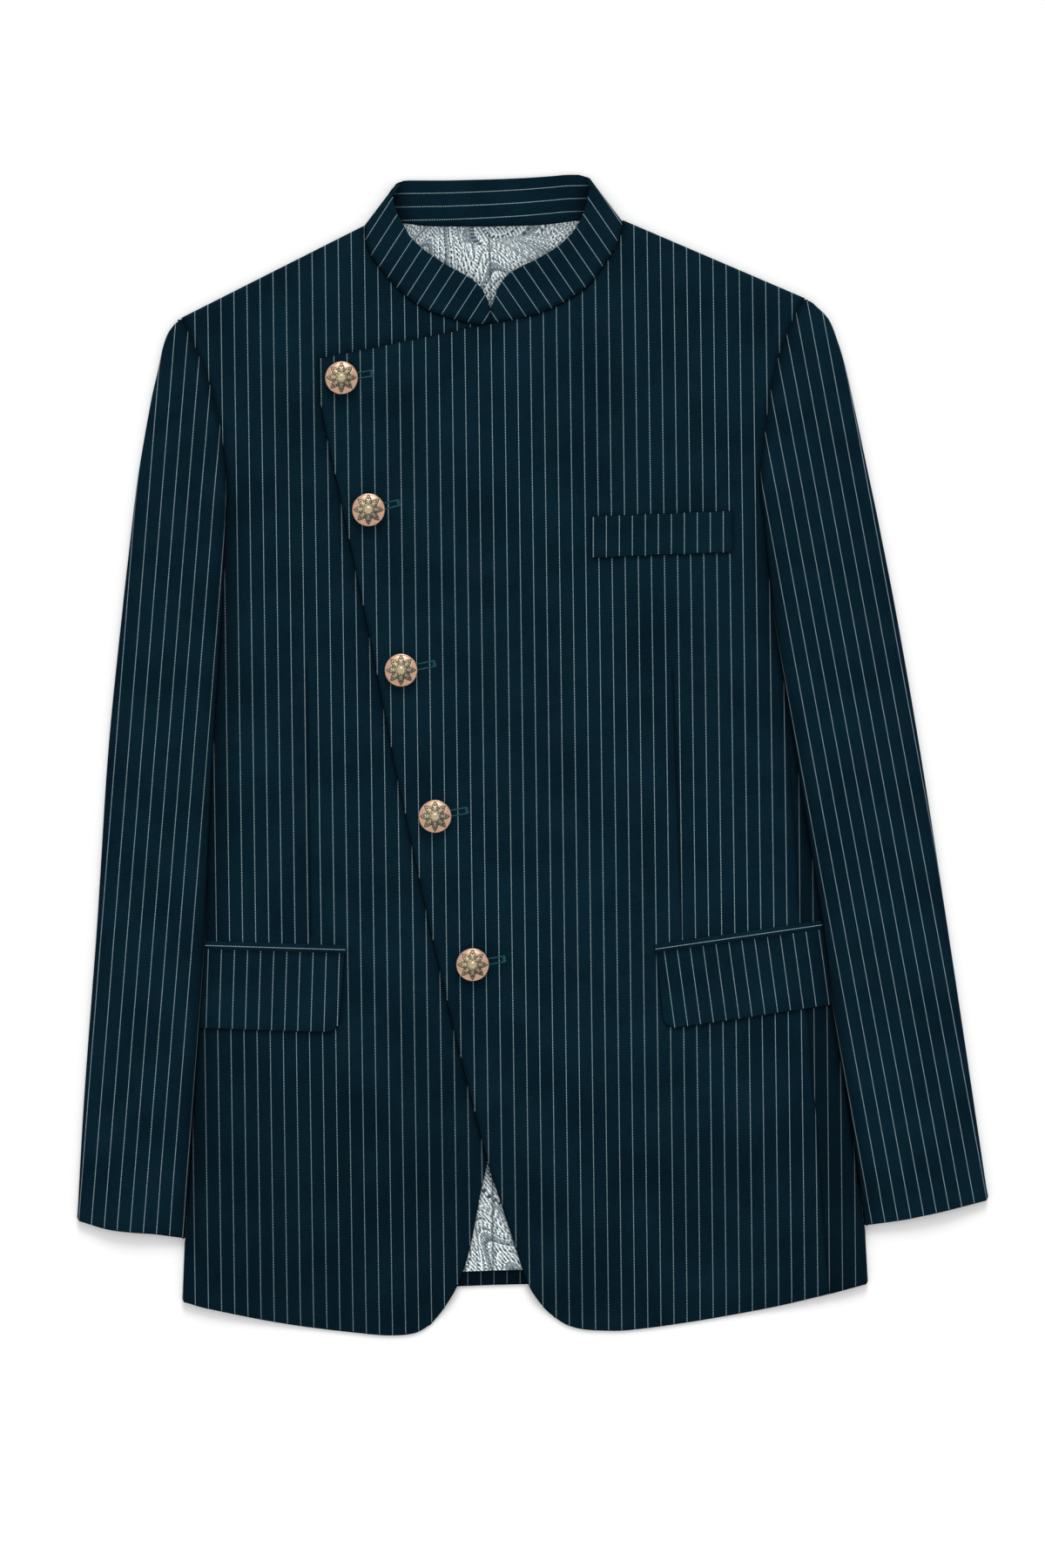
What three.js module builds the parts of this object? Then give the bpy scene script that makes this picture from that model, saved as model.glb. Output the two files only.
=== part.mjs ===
// A bandhgala jacket laid flat on its back, in millimetres: +X to the wearer's left, +Y to the collar, +Z up.
// The underside rests on z = 0, and the origin is under the middle of the laid-out garment.
import * as THREE from "three";

// Cloth: thickness of each wall, and the room between two layers.
const SHELL_CLOTH = 2.0;
const BACK_CLOTH = 1.5;
const LINING_CLOTH = 1.0;
const UNDER_SLEEVE_CLOTH = 1.6;
const COLLAR_CLOTH = 3.0;
const POCKET_CLOTH = 1.6;
const JET_CLOTH = 1.2;
const SEAM_GAP = 0.35;
const CURVED_SEAM_GAP = 0.8;
const LAYER_GAP = 0.3;
const ON_PANEL_GAP = 0.45;

// Heights of the stack: back, lining, front.
const LINING_BASE = BACK_CLOTH + LAYER_GAP;
const FRONT_BASE = LINING_BASE + LINING_CLOTH + LAYER_GAP;
const FRONT_TOP = FRONT_BASE + SHELL_CLOTH;
const FOLD_RADIUS = FRONT_TOP / 2;
const OVERLAP_RISE = SHELL_CLOTH + 0.5;
const SLEEVE_ON_BODY = FRONT_TOP + 0.45;
const COLLAR_FOLD_RADIUS = 3.2;

// Soft forms of the laid cloth.
const CHEST_SWELL = 2.6;
const SWELL_REACH = { side: 80, shoulder: 70, neck: 60, hem: 150 };
const SLEEVE_SWELL = 2.0;
const SLEEVE_SWELL_SHARE = 0.03;
const SLEEVE_RISE_RUN = 38;
const ARMHOLE_SINK_RUN = 50;
const SETTLE_RUN = 22;
const SETTLE_SIDE_RUN = 30;
const OVERLAP_RUN = 28;
const HEM_LEVEL = -385;
const NECK_RING = { middle: [-27, 372], reachX: 90, reachY: 70, size: 75 };

// What turns under at the folds.
const SIDE_WRAP = 20;
const SLEEVE_WRAP = 12;
const LIP_DROP = 16;
const LIP_FLAT = 4;
const CUFF_STEP = 1.5;

// Small parts.
const BUTTON = { radius: 11.5, shankRadius: 4, shankHeight: 1.4, rim: 2.2, dome: 3.6 };
const FLAP_ROUND = 9;
const JET_DEPTH = 6;

// Colours of the finishes.
const TEAL = { color: 0x0a2630, roughness: 0.85, metalness: 0 };
const PALE_LINING = { color: 0x8fa3b3, roughness: 0.45, metalness: 0 };
const OLD_BRASS = { color: 0xa8744f, roughness: 0.4, metalness: 1 };

// Edges of the body, each as rows of [x, y]; a curve runs smoothly through its rows.
const RIGHT_HEM = [
  [-242.2, -381.6], [-226.3, -386.1], [-171.4, -397.1], [-116.5, -403.8], [-98, -405], [-82, -403.3], [-71.2, -397.7],
];
const RIGHT_FRONT_EDGE = [
  [-71.2, -397.7], [-60.5, -384], [-50.5, -365], [-42.9, -338.6], [-36.6, -305], [-32, -283],
  [-27, -200], [-23, -80], [-22, 150], [-24.5, 300.4],
];
const RIGHT_SHOULDER = [[-245.4, 306.7], [-117.6, 371.3]];
const RIGHT_SHOULDER_SEAM = [[-239.2, 295.6], [-117.4, 360.6]];
const RIGHT_NECK = [
  [-117.2, 366], [-116.4, 357.5], [-112.6, 348.7], [-100.4, 333.7], [-87, 320.6],
  [-71.5, 310.8], [-53.8, 305.1], [-37.4, 301.4], [-24.5, 301.4],
];
const RIGHT_ARMHOLE = [
  [-226.3, 133], [-217.8, 154.3], [-213.3, 174.2], [-213.4, 186], [-214.4, 201.5],
  [-219, 236.1], [-226.9, 264.7], [-239.1, 293.7], [-244.4, 304.6],
];

const LEFT_HEM = [
  [15.9, -392.8], [24.6, -397.7], [34.5, -400.5], [48, -401.6], [66.5, -401.4], [112.2, -395.3],
  [167.1, -385.5], [208, -375.8],
];
const LEFT_FRONT_EDGE = [
  [15.9, -392.8], [7.3, -384.2], [-2, -369.5], [-14.6, -334.1], [-22.2, -312.3], [-32, -282.9],
  [-59.7, -167.8], [-93.6, -15.2], [-112, 78.1], [-133, 178.1], [-143, 224.2], [-147.7, 250], [-148.6, 277],
];
const LEFT_TOP_EDGE = [[-148.6, 277], [-43.3, 298.6], [-29.3, 301.6]];
const LEFT_NECK = [
  [-29.3, 301.6], [-13, 304.2], [5.6, 309.7], [22.6, 317.4], [38.3, 327.7], [50.2, 342.5],
  [57.9, 354], [62, 364], [63.7, 372.4],
];
const LEFT_SHOULDER = [[63.9, 374.9], [190.6, 320.6]];
const LEFT_SHOULDER_SEAM = [[63.7, 364], [184.9, 309.8]];
const LEFT_SIDE_SEAM = [
  [208, -375.8], [203.7, -324.5], [198.9, -257.4], [192.8, -184.2], [187.3, -108], [181.2, -19.5],
  [175.7, 65.9], [169, 152.5],
];
const LEFT_ARMHOLE = [
  [181.2, 133], [169, 152.8], [160.8, 175.3], [159.4, 190], [160.2, 204], [166.5, 253.2],
  [171.1, 275.9], [183, 306.8], [189.5, 318.6],
];
// The underarm, where the armhole ends and the side begins.
const UNDERARM_LEVEL = 133;

// Sleeves: the outer edge, the inner edge up to where the armhole seam shows, and what lies on the body.
const SLEEVES = {
  right: {
    out: -1,
    armhole: RIGHT_ARMHOLE,
    outer: [[-318.4, -324.5], [-313.5, -239.1], [-304.4, -117.1], [-296.5, 4.9], [-286.7, 102.5], [-278.6, 174]],
    head: [[-278.6, 174], [-275.1, 200.1], [-266.6, 248.9], [-261.1, 273.3], [-258.4, 286], [-254.8, 296], [-250.6, 301.8]],
    inner: [
      [-242.5, -336.7], [-236.9, -252.5], [-232.4, -190.3], [-228.8, -133], [-223.9, -19.5], [-220.2, 41.5],
      [-215.9, 102.5], [-213.3, 174.2],
    ],
    cuff: [[-318.4, -324.5], [-299.5, -330], [-281.2, -332.4], [-262.9, -333.9], [-242.5, -336.7]],
    seamShows: [-213.3, 174.2],
    overlap: 12,
  },
  left: {
    out: 1,
    armhole: LEFT_ARMHOLE,
    outer: [[319.2, -310], [308.7, -239.1], [290.4, -117.1], [271.4, 4.9], [254.4, 102.5], [241, 171]],
    head: [[241, 171], [234.8, 200.1], [224.5, 248.9], [219, 273.3], [214.3, 289], [207.6, 305.6], [196.6, 317]],
    inner: [
      [232.4, -327.6], [227.3, -286.4], [220.6, -242.2], [211.7, -190.3], [202.9, -118], [185.8, -9.8],
      [168.8, 97.6], [160.8, 172],
    ],
    cuff: [[319.2, -310], [295.2, -316], [276.9, -320.2], [258.6, -323.9], [232.4, -327.6]],
    seamShows: [160.8, 172],
    overlap: 17.6,
  },
};
// How far up from the cuff the sleeve has climbed onto the body.
const CLIMB = 45;

// Body edges below the cuffs: [y, x].
const BODY_BELOW_CUFF = { right: [[-381, -244.8], [-336.7, -242.95]], left: [[-369, 235.1], [-327.6, 232.85]] };
const BACK_HEM = [[-224, -381.5], [-29.3, -369.7], [214, -367.5]];
const LINING_HEM_RISE = 10;
const BACK_NECK = [[-108, 371.4], [-91.5, 372.9], [-74.4, 371], [-30, 370.3], [7, 371.8], [35, 375], [54, 374.3]];
const BACK_NECK_CORNER = { right: [-116.8, 360.1], left: [63.3, 363.5] };
const CENTRE_BACK = [[-27.4, -370], [-28.7, 311], [-30.2, 370.2]];

// The collar, column by column from the wearer's right front end, round the back, to the left front end.
const COLLAR_ARM_RIGHT = [
  { base: [-29.35, 302.1], top: [-29.35, 312] },
  { base: [-33, 301.8], top: [-31.8, 319.5] },
  { base: [-38.5, 301.9], top: [-36.3, 327.5] },
  { base: [-47, 303.8], top: [-44.5, 334.4] },
  { base: [-58, 306.8], top: [-55.5, 340.5] },
  { base: [-71.4, 311.2], top: [-66.5, 347] },
  { base: [-84.5, 319], top: [-77, 354.5] },
  { base: [-95.5, 328.9], top: [-85.5, 362.8] },
  { base: [-104.5, 338.9], top: [-91.4, 373.1] },
  { base: [-112, 349.2], top: [-95.8, 382.7] },
  { base: [-115.2, 359.3], top: [-97, 391] },
  { base: [-116, 364.5], top: [-95.3, 394.5] },
];
const COLLAR_FOLD_RIGHT = { base: [-116.9, 371.6], top: [-93.9, 402] };
const COLLAR_BACK = [
  { base: [-108, 372], top: [-87, 402.2] },
  { base: [-91.5, 373.3], top: [-76, 402.2] },
  { base: [-70, 371.3], top: [-60, 402.2] },
  { base: [-48, 370.8], top: [-42, 402.6] },
  { base: [-28, 370.7], top: [-25, 403.1] },
  { base: [-5, 371.6], top: [-6, 403.9] },
  { base: [18, 373.3], top: [12, 405.1] },
  { base: [35, 375.4], top: [27, 406.2] },
  { base: [52, 374.9], top: [33.5, 406.3] },
];
const COLLAR_FOLD_LEFT = { base: [63.2, 374], top: [40.3, 404.4] };
const COLLAR_ARM_LEFT = [
  { base: [62, 368.3], top: [40.8, 398] },
  { base: [61, 364.6], top: [39.6, 394] },
  { base: [57.4, 355], top: [38, 386] },
  { base: [50, 343.4], top: [34.3, 375.3] },
  { base: [42, 332], top: [29, 366.5] },
  { base: [32.5, 324], top: [21.5, 358.6] },
  { base: [21, 317.2], top: [12.5, 352.2] },
  { base: [9.5, 311.6], top: [1.5, 346] },
  { base: [-2, 307.7], top: [-10, 340.5] },
  { base: [-11, 305.2], top: [-18.3, 334.6] },
  { base: [-19, 303.4], top: [-23.6, 326.5] },
  { base: [-24.5, 302.6], top: [-26.2, 318.5] },
  { base: [-28.75, 302.1], top: [-28.75, 312] },
];

// Pockets: a corner at the front end of the top edge, the tilt of that edge, and the depth.
const FLAPS = {
  left: { corner: [87.4, -137.6], tilt: 8.2, depth: 53, lean: -2.5, out: 1 },
  right: { corner: [-131.4, -138.2], tilt: -1.7, depth: 54.5, lean: 2, out: -1 },
};
const WELT = { corner: [42.7, 138.9], tilt: 2.3, width: 97, depth: 28 };
const BUTTON_PLACES = [[-132.9, 263.6], [-114.1, 171.6], [-91.4, 59.8], [-67.7, -42.1], [-41.5, -145.5]];

const clamp01 = (t) => Math.min(1, Math.max(0, t));
const ease = (t) => clamp01(t) ** 2 * (3 - 2 * clamp01(t));
const mix = (a, b, t) => a + (b - a) * t;
const mixPoint = (p, q, t) => [mix(p[0], q[0], t), mix(p[1], q[1], t)];
const away = (p, direction, run) => [p[0] + direction[0] * run, p[1] + direction[1] * run];
const unit = (v) => {
  const length = Math.hypot(v[0], v[1]);
  return [v[0] / length, v[1] / length];
};

// A smooth curve through a few points, as a function of the share s of its length.
function curve(points) {
  const run = [0];
  for (let k = 1; k < points.length; k++) {
    run.push(run[k - 1] + Math.hypot(points[k][0] - points[k - 1][0], points[k][1] - points[k - 1][1]));
  }
  const slope = (k, axis) => {
    const before = Math.max(0, k - 1);
    const after = Math.min(points.length - 1, k + 1);
    return (points[after][axis] - points[before][axis]) / (run[after] - run[before]);
  };
  return (s) => {
    const at = clamp01(s) * run[run.length - 1];
    let k = 0;
    while (k < points.length - 2 && run[k + 1] < at) k++;
    const span = run[k + 1] - run[k];
    const t = (at - run[k]) / span;
    return [0, 1].map((axis) => {
      const a = points[k][axis];
      const b = points[k + 1][axis];
      const startSlope = slope(k, axis) * span;
      const endSlope = slope(k + 1, axis) * span;
      const bend = (2 * t ** 3 - 3 * t ** 2 + 1) * a + (t ** 3 - 2 * t ** 2 + t) * startSlope;
      return bend + (-2 * t ** 3 + 3 * t ** 2) * b + (t ** 3 - t ** 2) * endSlope;
    });
  };
}

// Several curves end to end: the one numbered k holds the shares from stops[k] to stops[k + 1].
const path = (curves, stops) => (s) => {
  let k = 0;
  while (k < curves.length - 1 && s > stops[k + 1] + 1e-9) k++;
  return curves[k]((s - stops[k]) / (stops[k + 1] - stops[k]));
};

// The x of a run of [x, y] points at a level y, read along a finely stepped curve.
function edgeAt(points) {
  const line = curve(points);
  const steps = 160;
  const fine = Array.from({ length: steps + 1 }, (_, k) => line(k / steps));
  return (y) => {
    let k = 0;
    while (k < steps - 1 && fine[k + 1][1] < y) k++;
    const t = clamp01((y - fine[k][1]) / (fine[k + 1][1] - fine[k][1]));
    return mix(fine[k][0], fine[k + 1][0], t);
  };
}

// A sheet in plan between four edges that meet at its corners.
const sheet = ({ bottom, top, left, right }) => (u, v) =>
  [0, 1].map((axis) => {
    const across = (1 - v) * bottom(u)[axis] + v * top(u)[axis];
    const along = (1 - u) * left(v)[axis] + u * right(v)[axis];
    const low = (1 - u) * bottom(0)[axis] + u * bottom(1)[axis];
    const high = (1 - u) * top(0)[axis] + u * top(1)[axis];
    return across + along - (1 - v) * low - v * high;
  });

// A neckline, standing off the collar that is sewn to it.
const NECK_STAND_OFF = 1;
function neckline(points) {
  const [mx, my] = NECK_RING.middle;
  return curve(points.map(([x, y]) => away([x, y], unit([x - mx, y - my]), NECK_STAND_OFF)));
}

const sleeveInner = { right: edgeAt(SLEEVES.right.inner), left: edgeAt(SLEEVES.left.inner) };
const armholeAt = { right: edgeAt(RIGHT_ARMHOLE), left: edgeAt(LEFT_ARMHOLE) };
const underlapAt = edgeAt(RIGHT_FRONT_EDGE);

// The outer edge of the laid body at a level: its side, and above the underarm its armhole.
function bodyEdge(side, y) {
  if (y >= UNDERARM_LEVEL) return armholeAt[side](y);
  const [foot, cuff] = BODY_BELOW_CUFF[side];
  if (y <= cuff[0]) return mix(foot[1], cuff[1], (y - foot[0]) / (cuff[0] - foot[0]));
  const { out, overlap } = SLEEVES[side];
  const climbed = ease((y - cuff[0] - CLIMB) / (UNDERARM_LEVEL - cuff[0] - CLIMB));
  return sleeveInner[side](y) + out * (overlap * climbed - 0.45);
}

const shoulderDrop = ([[x0, y0], [x1, y1]], x, y) => {
  const slope = (y1 - y0) / (x1 - x0);
  return (y0 + slope * (x - x0) - y) / Math.hypot(1, slope);
};

// Height of the front layer's face: it lifts softly away from its edges.
function frontFace(x, y) {
  const { middle, reachX, reachY, size } = NECK_RING;
  const neckRing = (Math.hypot((x - middle[0]) / reachX, (y - middle[1]) / reachY) - 1) * size;
  const swell =
    CHEST_SWELL *
    ease((x - bodyEdge("right", y) - FOLD_RADIUS) / SWELL_REACH.side) *
    ease((bodyEdge("left", y) - FOLD_RADIUS - x) / SWELL_REACH.side) *
    ease((shoulderDrop(RIGHT_SHOULDER, x, y) - FOLD_RADIUS) / SWELL_REACH.shoulder) *
    ease((shoulderDrop(LEFT_SHOULDER, x, y) - FOLD_RADIUS) / SWELL_REACH.shoulder) *
    ease(neckRing / SWELL_REACH.neck) *
    ease((y - HEM_LEVEL) / SWELL_REACH.hem);
  return FRONT_TOP + swell - settle(x, y);
}

// Below the back's hem the fronts come down onto the surface.
const backHemLine = curve(BACK_HEM);
const backHemAt = (x) => backHemLine((x - BACK_HEM[0][0]) / (BACK_HEM[2][0] - BACK_HEM[0][0]))[1];
function settle(x, y) {
  const inside = Math.min(x - bodyEdge("right", y), bodyEdge("left", y) - x) - FOLD_RADIUS;
  return FRONT_BASE * ease((backHemAt(x) - 3 - y) / SETTLE_RUN) * ease(inside / SETTLE_SIDE_RUN);
}

// The left front climbs over the right front's edge.
const overlapFace = (x, y) => {
  const past = ease((x - underlapAt(y) - 1.5) / OVERLAP_RUN);
  return frontFace(x, y) + OVERLAP_RISE * (1 - past);
};

// A closed wall of cloth from rows of points on its outer face; live says which cells exist.
function clothWall({ rows, cols, at, thick, live = () => true }) {
  const width = cols + 1;
  const outer = [];
  for (let i = 0; i <= rows; i++) {
    for (let j = 0; j < width; j++) outer.push(new THREE.Vector3(...at(i, j)));
  }
  const facing = outer.map(() => new THREE.Vector3());
  const quads = [];
  for (let i = 0; i < rows; i++) {
    for (let j = 0; j < cols; j++) {
      if (!live(i, j)) continue;
      const quad = [i * width + j, i * width + j + 1, (i + 1) * width + j + 1, (i + 1) * width + j];
      const across = outer[quad[2]].clone().sub(outer[quad[0]]);
      const normal = across.cross(outer[quad[3]].clone().sub(outer[quad[1]]));
      quad.forEach((corner) => facing[corner].add(normal));
      quads.push(quad);
    }
  }
  const count = outer.length;
  const inner = outer.map((point, k) => point.clone().addScaledVector(facing[k].normalize(), -thick));
  const faces = [];
  const edges = new Set(quads.flatMap((q) => q.map((corner, k) => corner + "," + q[(k + 1) % 4])));
  for (const quad of quads) {
    const [a, b, c, d] = quad;
    faces.push(a, b, c, a, c, d, c + count, b + count, a + count, d + count, c + count, a + count);
    quad.forEach((p, k) => {
      const q = quad[(k + 1) % 4];
      if (!edges.has(q + "," + p)) faces.push(q, p, p + count, q, p + count, q + count);
    });
  }
  const used = new Map([...new Set(faces)].map((old, k) => [old, k]));
  const points = [...outer, ...inner];
  const geometry = new THREE.BufferGeometry();
  geometry.setAttribute(
    "position",
    new THREE.Float32BufferAttribute([...used.keys()].flatMap((old) => points[old].toArray()), 3),
  );
  geometry.setIndex(faces.map((old) => used.get(old)));
  geometry.computeVertexNormals();
  return geometry;
}

// A fold at a plan point: half a turn from the top face to the underside, then a run that goes back under.
// inward points from the fold into the piece, and under(s) is the underside's height s away from the fold.
function foldPoints({ edge, inward, radius, reach = radius, lift = 0, turn, stops, under = () => lift }) {
  const points = [];
  for (let k = 0; k <= turn; k++) {
    const angle = (Math.PI * k) / turn;
    const plan = away(edge, inward, reach * (1 - Math.sin(angle)));
    points.push([...plan, lift + radius * (1 + Math.cos(angle))]);
  }
  for (const run of stops) points.push([...away(edge, inward, run), under(run)]);
  return points;
}

const jacket = new THREE.Group();
jacket.name = "bandhgala_jacket";

function addPiece(name, geometry, finish) {
  const mesh = new THREE.Mesh(geometry, new THREE.MeshStandardMaterial(finish));
  mesh.name = name;
  jacket.add(mesh);
  return mesh;
}

// Rows stand closer together at the hem, where the fronts are cut round.
const hemRows = (count, end) => Array.from({ length: count + 1 }, (_, k) => end * (k / count) ** 1.35);
const evenRows = (count, start, end) => Array.from({ length: count }, (_, k) => mix(start, end, (k + 1) / count));

const FOLD_TURN = 5;
const WRAP_STEPS = 1;

// The wearer's right front: it lies under the left one, and wraps round the side and over the shoulder.
function rightFront() {
  const underarm = 0.745;
  const neckPoint = 0.5;
  const levels = [...hemRows(14, underarm), ...evenRows(8, underarm, 1)];
  const across = [...evenRows(7, 0, neckPoint), ...evenRows(7, neckPoint, 1)];
  across.unshift(0);
  const sideRows = 14;
  const shoulderCols = 7;
  const insetSide = (s) => {
    const y = mix(RIGHT_HEM[0][1], UNDERARM_LEVEL, s);
    return [bodyEdge("right", y) + FOLD_RADIUS, y];
  };
  const seam = curve(RIGHT_SHOULDER_SEAM);
  const shoulder = curve(RIGHT_SHOULDER);
  const shoulderInward = (s) => unit([seam(s)[0] - shoulder(s)[0], seam(s)[1] - shoulder(s)[1]]);
  const insetShoulder = (s) => away(shoulder(s), shoulderInward(s), FOLD_RADIUS);
  const armhole = curve(RIGHT_ARMHOLE);
  const plan = sheet({
    bottom: curve(RIGHT_HEM),
    right: curve(RIGHT_FRONT_EDGE),
    top: path([insetShoulder, neckline(RIGHT_NECK)], [0, neckPoint, 1]),
    left: path([insetSide, (s) => (s > 0.999 ? insetShoulder(0) : armhole(s))], [0, underarm, 1]),
  });
  const turned = FOLD_TURN + WRAP_STEPS;
  const main = { rows: levels.length - 1, cols: across.length - 1 };
  const sideTurn = (i) => {
    const [, y] = plan(0, levels[i]);
    return foldPoints({
      edge: [bodyEdge("right", y), y],
      inward: [1, 0],
      radius: FOLD_RADIUS,
      turn: FOLD_TURN,
      stops: [SIDE_WRAP],
    });
  };
  const shoulderTurn = (j) => {
    const s = across[j] / neckPoint;
    const run = Math.hypot(seam(s)[0] - shoulder(s)[0], seam(s)[1] - shoulder(s)[1]);
    return foldPoints({
      edge: shoulder(s),
      inward: shoulderInward(s),
      radius: FOLD_RADIUS,
      turn: FOLD_TURN,
      stops: [run],
    });
  };
  return clothWall({
    rows: main.rows + turned,
    cols: main.cols + turned,
    thick: SHELL_CLOTH,
    live: (i, j) => (j >= turned ? i < main.rows || j < turned + shoulderCols : i < sideRows),
    at: (i, j) => {
      if (j < turned) return sideTurn(Math.min(i, main.rows))[turned - j];
      if (i > main.rows) return shoulderTurn(Math.min(j - turned, shoulderCols))[i - main.rows];
      const [x, y] = plan(across[j - turned], levels[i]);
      return [x, y, frontFace(x, y)];
    },
  });
}

// The wearer's left front: it lies on top, from its slanting edge to the side seam.
function leftFront() {
  const seamEnd = 0.76;
  const corners = [0.31, 0.64];
  const levels = [...hemRows(14, seamEnd), ...evenRows(8, seamEnd, 1)];
  const across = [...evenRows(5, 0, corners[0]), ...evenRows(6, ...corners), ...evenRows(6, corners[1], 1)];
  across.unshift(0);
  const seam = curve(LEFT_SHOULDER_SEAM);
  const shoulder = curve(LEFT_SHOULDER);
  const shoulderInward = (s) => unit([seam(s)[0] - shoulder(s)[0], seam(s)[1] - shoulder(s)[1]]);
  const insetShoulder = (s) => away(shoulder(s), shoulderInward(s), FOLD_RADIUS);
  const armhole = curve(LEFT_ARMHOLE.slice(1));
  const plan = sheet({
    bottom: curve(LEFT_HEM),
    left: curve(LEFT_FRONT_EDGE),
    top: path([curve(LEFT_TOP_EDGE), neckline(LEFT_NECK), insetShoulder], [0, ...corners, 1]),
    right: path([curve(LEFT_SIDE_SEAM), (s) => (s > 0.999 ? insetShoulder(1) : armhole(s))], [0, seamEnd, 1]),
  });
  const turned = FOLD_TURN + WRAP_STEPS;
  const rows = levels.length - 1;
  const neckCol = 11;
  const shoulderTurn = (j) => {
    const s = (across[j] - corners[1]) / (1 - corners[1]);
    const run = Math.hypot(seam(s)[0] - shoulder(s)[0], seam(s)[1] - shoulder(s)[1]);
    return foldPoints({
      edge: shoulder(s),
      inward: shoulderInward(s),
      radius: FOLD_RADIUS,
      turn: FOLD_TURN,
      stops: [run],
    });
  };
  return clothWall({
    rows: rows + turned,
    cols: across.length - 1,
    thick: SHELL_CLOTH,
    live: (i, j) => i < rows || j >= neckCol,
    at: (i, j) => {
      if (i > rows || (i === rows && j >= neckCol)) return shoulderTurn(Math.max(j, neckCol))[i - rows];
      const [x, y] = plan(across[j], levels[i]);
      return [x, y, overlapFace(x, y)];
    },
  });
}

// The left side panel: from the seam in front round the side fold to the back.
function leftSide() {
  const levels = [0, ...evenRows(14, 0, 1)];
  const seam = curve(LEFT_SIDE_SEAM);
  const turned = FOLD_TURN + WRAP_STEPS;
  const mainCols = 2;
  return clothWall({
    rows: levels.length - 1,
    cols: mainCols + turned,
    thick: SHELL_CLOTH,
    at: (i, j) => {
      const front = away(seam(levels[i]), [1, 0], SEAM_GAP);
      const y = mix(BODY_BELOW_CUFF.left[0][0], UNDERARM_LEVEL, levels[i]);
      const edge = [bodyEdge("left", y), y];
      if (j > mainCols) {
        const turn = { edge, inward: [-1, 0], radius: FOLD_RADIUS, turn: FOLD_TURN, stops: [SIDE_WRAP] };
        return foldPoints(turn)[j - mainCols];
      }
      const [px, py] = mixPoint(front, away(edge, [-1, 0], FOLD_RADIUS), j / mainCols);
      return [px, py, frontFace(px, py)];
    },
  });
}

// One half of the back, or of its lining, flat between the centre seam and the side.
function backHalf(side, { base, thick, inset, hemRise }) {
  const out = SLEEVES[side].out;
  const underarm = 0.745;
  const neckPoint = side === "right" ? 0.58 : 0.6;
  const hemY = (x) => backHemAt(x) + hemRise;
  const gap = SEAM_GAP / 2;
  const centre = curve(CENTRE_BACK);
  const centreFoot = [CENTRE_BACK[0][0] + out * gap, hemY(CENTRE_BACK[0][0])];
  const centreLine = (s) => {
    if (s <= 0) return centreFoot;
    return away(centre(s), [out, 0], gap);
  };
  const seam = side === "right" ? RIGHT_SHOULDER_SEAM : [...LEFT_SHOULDER_SEAM].reverse();
  const neck = side === "right" ? BACK_NECK.slice(0, 4) : [...BACK_NECK.slice(3)].reverse();
  const neckRow = [BACK_NECK_CORNER[side], ...neck.slice(0, -1), centreLine(1)];
  const drop = SEAM_GAP + inset;
  const shoulderLine = curve(seam.map(([x, y]) => [x, y - drop]));
  const neckLine = curve(neckRow.map(([x, y]) => [x, y - inset]));
  const sideX = (y) => bodyEdge(side, y) - out * (SIDE_WRAP + CURVED_SEAM_GAP + inset);
  const sideFoot = BACK_HEM[side === "right" ? 0 : 2][0];
  const sideLine = (s) => {
    const y = mix(hemY(sideFoot), UNDERARM_LEVEL, s);
    return [sideX(y), y];
  };
  const armhole = curve(SLEEVES[side].armhole);
  const armLine = (s) => (s > 0.999 ? shoulderLine(0) : away(armhole(s * 0.93), [-out, 0], inset));
  const outward = sheet({
    bottom: (u) => {
      const x = mix(sideLine(0)[0], centreFoot[0], u);
      return [x, hemY(x)];
    },
    top: path([shoulderLine, neckLine], [0, neckPoint, 1]),
    left: path([sideLine, armLine], [0, underarm, 1]),
    right: centreLine,
  });
  const levels = [0, ...evenRows(8, 0, underarm), ...evenRows(6, underarm, 1)];
  const across = [0, ...evenRows(4, 0, neckPoint), ...evenRows(3, neckPoint, 1)];
  const cols = across.length - 1;
  return clothWall({
    rows: levels.length - 1,
    cols,
    thick,
    at: (i, j) => [...outward(across[out < 0 ? j : cols - j], levels[i]), base + thick],
  });
}

// A sleeve's upper piece: folds at both edges, an open cuff, and the cap that meets the armhole.
function sleevePlan(side) {
  const sleeve = SLEEVES[side];
  const seamShows = 0.74;
  const outer = path([curve(sleeve.outer), curve(sleeve.head)], [0, seamShows, 1]);
  const armhole = sleeve.armhole.filter(([, y]) => y > sleeve.seamShows[1] + 4);
  const capEdge = curve([sleeve.seamShows, ...armhole]);
  const inner = path([curve(sleeve.inner), (s) => away(capEdge(s), [sleeve.out, 0], CURVED_SEAM_GAP)], [0, seamShows, 1]);
  const rowAt = (v) => unit([inner(v)[0] - outer(v)[0], inner(v)[1] - outer(v)[1]]);
  // The fold runs across the edge, so it is longer along a row that meets the edge at a slant.
  const outerFold = (v) => {
    const [a, b] = [outer(Math.max(0, v - 0.01)), outer(Math.min(1, v + 0.01))];
    const [tx, ty] = unit([b[0] - a[0], b[1] - a[1]]);
    const [rx, ry] = rowAt(v);
    const wide = Math.hypot(inner(v)[0] - outer(v)[0], inner(v)[1] - outer(v)[1]);
    const reach = Math.min(FOLD_RADIUS / Math.abs(tx * ry - ty * rx), 0.5 * wide);
    return { reach, wrap: Math.min(SLEEVE_WRAP, 0.75 * wide) };
  };
  return { ...sleeve, seamShows, outer, inner, rowAt, outerFold };
}

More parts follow.
